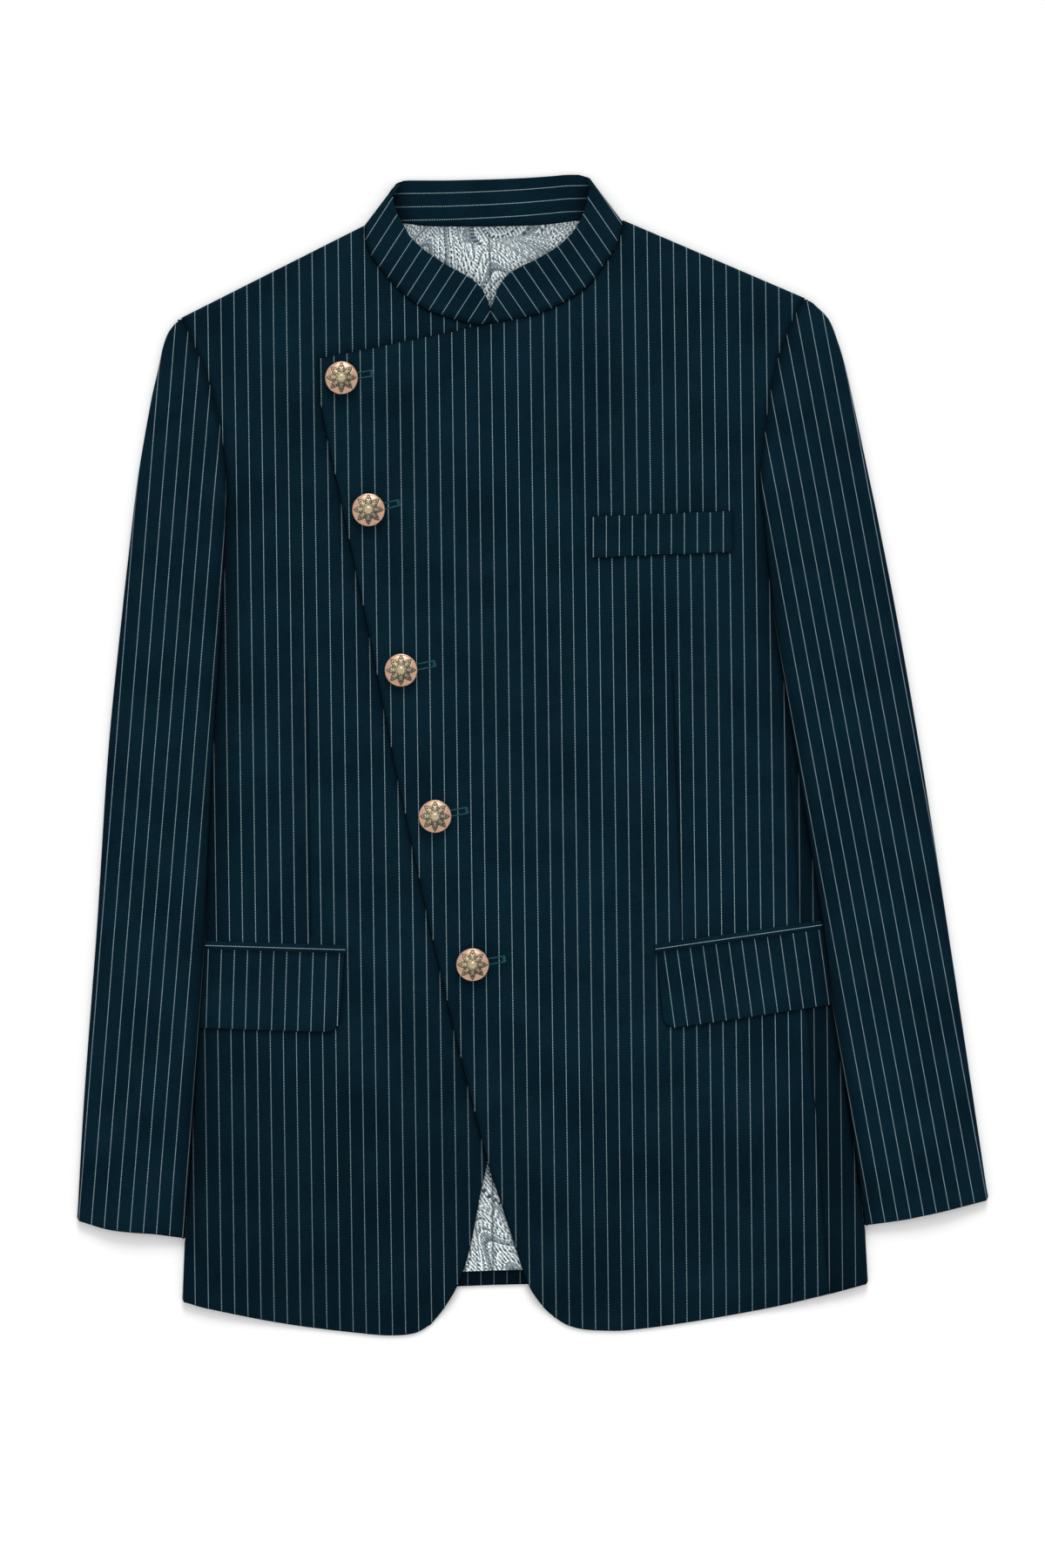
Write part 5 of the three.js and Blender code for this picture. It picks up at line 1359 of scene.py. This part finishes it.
def brass_material():
    material, g, surface = new_material("Old brass and copper")
    place = g.put("ShaderNodeTexCoord").outputs["Object"]
    patina = g.noise(place, 900.0, 4.0)
    gold = g.blend(patina, (0.42, 0.33, 0.18, 1), (0.70, 0.61, 0.42, 1))
    copper = g.blend(patina, (0.46, 0.27, 0.18, 1), (0.74, 0.50, 0.37, 1))
    metal = g.blend(g.mark("copper"), gold, copper)
    # Dark patina in the hollows, with the painted shade on the star's lower right, darkens the metal and
    # takes its shine.
    dark_patina_and_shade = g.calc("MULTIPLY", g.mark("patina_and_painted_shade"), g.ramp(patina, 0.25, 0.75, 0.8, 1.0))
    g.feed(surface["Base Color"], g.blend(dark_patina_and_shade, metal, (0.016, 0.010, 0.006, 1)))
    g.feed(surface["Metallic"], g.ramp(dark_patina_and_shade, 0.0, 0.8, 1.0, 0.0))
    g.feed(surface["Roughness"], g.ramp(g.calc("ADD", patina, dark_patina_and_shade), 0.3, 1.5, 0.3, 0.8))
    g.feed(surface["Normal"], g.bump(g.noise(place, 2600.0, 3.0), 0.25, 0.0001))
    return material


def thread_material():
    material, g, surface = new_material("Teal buttonhole twist")
    place = g.put("ShaderNodeTexCoord").outputs["Object"]
    fibre = g.noise(place, 2400.0, 3.0)
    g.feed(surface["Base Color"], g.blend(fibre, (0.005, 0.045, 0.055, 1), (0.016, 0.105, 0.12, 1)))
    g.feed(surface["Roughness"], g.ramp(fibre, 0.2, 0.8, 0.5, 0.75))
    surface["Specular IOR Level"].default_value = 0.2
    g.feed(surface["Normal"], g.bump(fibre, 0.3, 0.00006))
    return material


def floor_material():
    material, g, surface = new_material("White paper sweep")
    place = g.put("ShaderNodeTexCoord").outputs["Object"]
    grain = g.noise(place, 350.0, 4.0)
    g.feed(surface["Base Color"], g.blend(grain, grey(0.90), grey(0.92)))
    surface["Roughness"].default_value = 0.95
    surface["Specular IOR Level"].default_value = 0.1
    return material


def run_nodes(piece, tree, values):
    """Runs a geometry node tree on a piece and keeps the result as the piece's mesh."""
    modifier = piece.modifiers.new(tree.name, "NODES")
    modifier.node_group = tree
    for item in tree.interface.items_tree:
        if item.in_out == "INPUT" and item.name in values:
            modifier[item.identifier] = values[item.name]
    evaluated = piece.evaluated_get(bpy.context.evaluated_depsgraph_get())
    made = bpy.data.meshes.new_from_object(evaluated)
    piece.modifiers.remove(modifier)
    piece.data = made
    return piece


def satin_tree():
    """Short rounded stitches laid across a path, side by side."""
    tree, g, given, out = node_group(
        "Satin stitches",
        [("Path", "NodeSocketGeometry", None), ("Spacing", FLOAT, 0.0004), ("Stitch length", FLOAT, 0.0016),
         ("Thread radius", FLOAT, 0.0002), ("Thread", "NodeSocketMaterial", None)],
        [("Stitches", "NodeSocketGeometry")],
        "GeometryNodeTree",
    )
    path = g.put("GeometryNodeMeshToCurve", {0: given["Path"]}).outputs[0]
    feeds = {"Curve": path, "Length": given["Spacing"]}
    places = g.put("GeometryNodeResampleCurve", feeds, mode="LENGTH").outputs[0]
    half = g.calc("MULTIPLY", given["Stitch length"], 0.5)
    start = g.put("ShaderNodeCombineXYZ", {1: g.calc("MULTIPLY", half, -1.0)}).outputs[0]
    middle = g.put("ShaderNodeCombineXYZ", {2: g.calc("MULTIPLY", given["Thread radius"], 2.4)}).outputs[0]
    end = g.put("ShaderNodeCombineXYZ", {1: half}).outputs[0]
    feeds = {"Resolution": 4, "Start": start, "Middle": middle, "End": end}
    arch = g.put("GeometryNodeCurveQuadraticBezier", feeds).outputs[0]
    feeds = {"Resolution": 6, "Radius": given["Thread radius"]}
    ring = g.put("GeometryNodeCurvePrimitiveCircle", feeds).outputs[0]
    feeds = {"Curve": arch, "Profile Curve": ring, "Fill Caps": True}
    stitch = g.put("GeometryNodeCurveToMesh", feeds).outputs[0]
    tangent = g.put("GeometryNodeInputTangent").outputs[0]
    aligned = g.put("FunctionNodeAlignRotationToVector", {"Vector": tangent}, axis="X", pivot_axis="Z")
    feeds = {"Min": (0.9, 0.86, 0.9), "Max": (1.1, 1.12, 1.15), "Seed": 11}
    uneven = g.put("FunctionNodeRandomValue", feeds, data_type="FLOAT_VECTOR").outputs[0]
    feeds = {"Points": places, "Instance": stitch, "Rotation": aligned.outputs[0], "Scale": uneven}
    placed = g.put("GeometryNodeInstanceOnPoints", feeds).outputs[0]
    real = g.put("GeometryNodeRealizeInstances", {0: placed}).outputs[0]
    smooth = g.put("GeometryNodeSetShadeSmooth", {0: real}).outputs[0]
    feeds = {"Geometry": smooth, "Material": given["Thread"]}
    g.feed(out["Stitches"], g.put("GeometryNodeSetMaterial", feeds).outputs[0])
    return tree


def bead_tree():
    """A ring of beads joined to a button's face."""
    tree, g, given, out = node_group(
        "Bead ring",
        [("Button", "NodeSocketGeometry", None), ("Centre", VECTOR, None), ("Ring radius", FLOAT, 0.009),
         ("Bead radius", FLOAT, 0.0003), ("Beads", "NodeSocketInt", 40),
         ("Metal", "NodeSocketMaterial", None)],
        [("Button", "NodeSocketGeometry")],
        "GeometryNodeTree",
    )
    feeds = {"Vertices": given["Beads"], "Radius": given["Ring radius"]}
    ring = g.put("GeometryNodeMeshCircle", feeds).outputs[0]
    moved = g.put("GeometryNodeTransform", {"Geometry": ring, "Translation": given["Centre"]}).outputs[0]
    bead = g.put("GeometryNodeMeshIcoSphere", {"Radius": given["Bead radius"], "Subdivisions": 2}).outputs[0]
    placed = g.put("GeometryNodeInstanceOnPoints", {"Points": moved, "Instance": bead}).outputs[0]
    real = g.put("GeometryNodeRealizeInstances", {0: placed}).outputs[0]
    smooth = g.put("GeometryNodeSetShadeSmooth", {0: real}).outputs[0]
    beads = g.put("GeometryNodeSetMaterial", {"Geometry": smooth, "Material": given["Metal"]}).outputs[0]
    both = g.put("GeometryNodeJoinGeometry")
    g.tree.links.new(beads, both.inputs[0])
    g.tree.links.new(given["Button"], both.inputs[0])
    g.feed(out["Button"], both.outputs[0])
    return tree


def eight_points(angle, inner, outer, turned=0.0):
    """The outline of an eight-pointed star, as a radius for each angle."""
    share = (angle * 4 / math.pi + turned) % 1
    return mix(inner, outer, np.abs(2 * share - 1) ** 1.05)


def pits(r, angle, count, at, size, turned=0.0):
    """A ring of small round pits."""
    step = 2 * math.pi / count
    off = (angle / step + turned + 0.5) % 1 - 0.5
    return np.exp(-(((r - at) ** 2 + (off * step * at) ** 2) / size**2) ** 1.5)


def button(node, beads, metal):
    """A shanked metal button: a copper dome with an eight-pointed rosette of pale brass on it."""
    low, high = (np.array(corner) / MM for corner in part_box(node))
    centre, foot = (low + high)[:2] / 2, low[2]
    crown = high[2] - 0.75
    segments, circles = 144, 58
    turn = np.linspace(0, 2 * math.pi, segments, endpoint=False)
    r, a = np.meshgrid(np.linspace(0.2, BUTTON_RADIUS, circles), turn, indexing="ij")
    star, heart = eight_points(a, 5.7, 10.2), eight_points(a, 3.2, 5.9, 0.5)
    on_star = ease((star - r) / 0.5 + 0.5)
    outline = np.exp(-(((r - star) / 0.55) ** 2))
    inner_line = np.exp(-(((r - heart) / 0.36) ** 2)) * (r > 2.2)
    holes = np.maximum(pits(r, a, 8, 7.7, 0.75), pits(r, a, 16, 6.1, 0.5, 0.5))
    holes = np.maximum(holes, pits(r, a, 8, 4.3, 0.62, 0.5))
    boss = ease((1.9 - r) / 0.5)
    groove = np.exp(-(((r - 3.0) / 0.22) ** 2))
    petal = 0.28 * np.cos(4 * a) ** 2 * ease((r - 3.4) / 2) * on_star
    relief = 0.42 * on_star + petal + 0.3 * boss
    relief = relief - 0.42 * outline - 0.3 * inner_line - 0.55 * holes - 0.3 * groove
    rolled = 0.35 * np.exp(-(((r - 10.9) / 0.45) ** 2))
    z = crown - 3.0 * (r / BUTTON_RADIUS) ** 2.3 + relief + rolled
    # Painted shade: the star darker towards its lower right, away from the light; it joins the dark patina in
    # the hollows.
    painted_side_shade = on_star * (0.36 + 0.3 * np.cos(a + 0.9)) * ease((r - 2.4) / 1.5)
    patina_and_painted_shade = np.clip(1.2 * outline + inner_line + holes + 0.8 * groove + painted_side_shade, 0, 1)
    copper = 1 - on_star
    edge_z = z[-1, 0]
    # The rim, the back and the shank: how far out from the radius, and how far below the edge.
    below = [(0.06, 0.5), (-0.25, 0.95), (-1.2, 1.2), (-6.5, 1.25), (-7.9, 1.5), (-8.1, 9.0), (-8.5, 9.0)]
    for inset, drop in below:
        r = np.vstack([r, np.full(segments, BUTTON_RADIUS + inset)])
        z = np.vstack([z, np.full(segments, max(edge_z - drop, foot))])
        patina_and_painted_shade = np.vstack([patina_and_painted_shade, np.full(segments, 0.35)])
        copper = np.vstack([copper, np.ones(segments)])
    rings = len(r)
    x, y = centre[0] + r * np.cos(turn), centre[1] + r * np.sin(turn)
    ends = [[*centre, z[0].mean() + 0.01], [*centre, foot]]
    points = np.concatenate([np.stack([x, y, z], axis=-1).reshape(-1, 3), ends])
    index = np.arange(rings * segments).reshape(rings, segments)
    after = np.roll(index, -1, axis=1)
    quads = np.stack([index[:-1], index[1:], after[1:], after[:-1]], axis=-1).reshape(-1, 4).tolist()
    middle, under = rings * segments, rings * segments + 1
    fans = [(middle, int(index[0, k]), int(after[0, k])) for k in range(segments)]
    fans += [(under, int(after[-1, k]), int(index[-1, k])) for k in range(segments)]
    at_ends = [0.0, 0.2]
    marks = {"patina_and_painted_shade": np.append(patina_and_painted_shade, at_ends), "copper": np.append(copper, at_ends)}
    piece = mesh_object(node + "_metal", points, quads + fans, marks=marks)
    piece.data.materials.append(metal)
    at = Vector((*centre, crown + 0.25)) * MM
    values = {"Centre": at, "Ring radius": 0.0024, "Bead radius": 0.00034, "Beads": 14, "Metal": metal}
    return run_nodes(piece, beads, values)


def buttonholes(stitches, thread):
    """The worked buttonholes on the lap: two rows of stitches, closed by a bar at the outer end."""
    points, edges = [], []
    for start, end in zip(BUTTON_PLACES, BUTTONHOLE_ENDS):
        start, end = np.array(start), np.array(end)
        along = unit(end - start)
        side = np.array([-along[1], along[0]]) * BUTTONHOLE_HALF_WIDTH
        row = [mix(start, end, t) for t in np.linspace(0.42, 1, 12)]
        bar = [end + side * t for t in (0.6, 0.2, -0.2, -0.6)]
        paths = [[p + side for p in row] + bar + [p - side for p in row[::-1]]]
        paths.append([end - along * 1.1 + side * t for t in (0.8, 0.4, 0, -0.4, -0.8)])
        for path in paths:
            first = len(points)
            points += [(x, y, float(overlap_face(x, y)) + 0.05) for x, y in path]
            edges += [(first + k, first + k + 1) for k in range(len(path) - 1)]
    mesh = bpy.data.meshes.new("buttonhole_stitches")
    mesh.from_pydata((np.array(points) * MM).tolist(), edges, [])
    piece = link(bpy.data.objects.new("buttonhole_stitches", mesh))
    values = {"Spacing": 0.00036, "Stitch length": 0.0009, "Thread radius": 0.00016, "Thread": thread}
    return run_nodes(piece, stitches, values)


def floor():
    half, level = 6.0, -0.0001
    mesh = bpy.data.meshes.new("floor")
    corners = [(x * half, y * half, level) for x, y in ((-1, -1), (1, -1), (1, 1), (-1, 1))]
    mesh.from_pydata(corners, [], [(0, 1, 2, 3)])
    mesh.materials.append(floor_material())
    link(bpy.data.objects.new("floor", mesh))


def light_and_camera():
    world = bpy.data.worlds.new("Studio")
    bpy.context.scene.world = world
    world.use_nodes = True
    world.node_tree.nodes["Background"].inputs["Color"].default_value = (1, 1, 1, 1)
    world.node_tree.nodes["Background"].inputs["Strength"].default_value = 0.86
    sun = bpy.data.lights.new("Soft key", "SUN")
    sun.energy = 2.0
    sun.angle = math.radians(26)
    lamp = link(bpy.data.objects.new("Soft key", sun))
    lamp.rotation_euler = Vector((0.1, 1.9, 1.0)).to_track_quat("Z", "Y").to_euler()
    camera = bpy.data.cameras.new("Camera")
    camera.sensor_fit = "VERTICAL"
    camera.sensor_height = SENSOR
    camera.lens = SENSOR * CAMERA_HEIGHT / PICTURE_HEIGHT
    eye = link(bpy.data.objects.new("Camera", camera))
    eye.location = (*CAMERA_PLACE, CAMERA_HEIGHT)
    bpy.context.scene.camera = eye
    bpy.context.scene.view_settings.view_transform = "Standard"


def dress(piece, slot, *nodes):
    """Fastens a piece to the jacket's one body, in place of its nodes, which it hides."""
    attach(piece, "root")
    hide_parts(*nodes)
    return piece


groups = {"dots": pin_dot_group(), "twill": twill_group(), "jacquard": jacquard_group()}
suiting, lining = suiting_material(groups), lining_material(groups)
metal, thread = brass_material(), thread_material()

cloths = {}
for side in ("right", "left"):
    for layer in BACK_LAYERS:
        cloths[layer + "_" + side] = back_half(side, layer)
cloths["front_right"], cloths["front_left"], cloths["side_left"] = front_right(), front_left(), side_left()
for side in ("right", "left"):
    cloths["upper_sleeve_" + side], cloths["under_sleeve_" + side] = upper_sleeve(side), under_sleeve(side)
    cloths["flap_" + side], cloths["jet_" + side] = pocket_flap(side), pocket_jet(side)
cloths["collar"], cloths["welt_breast"] = collar(), breast_welt()

beads, stitches = bead_tree(), satin_tree()
button_nodes = [f"button_{k}" for k in range(1, len(BUTTON_PLACES) + 1)]
buttons = [button(node, beads, metal) for node in button_nodes]
for node, piece in zip(button_nodes, buttons):
    dress(piece, "button_metal", node)
holes = buttonholes(stitches, thread)
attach(holes, "root")

for name, piece in cloths.items():
    of_lining = name.startswith("lining")
    piece.data.materials.append(lining if of_lining else suiting)
    dress(piece, "lining" if of_lining else "suiting", name)

floor()
light_and_camera()
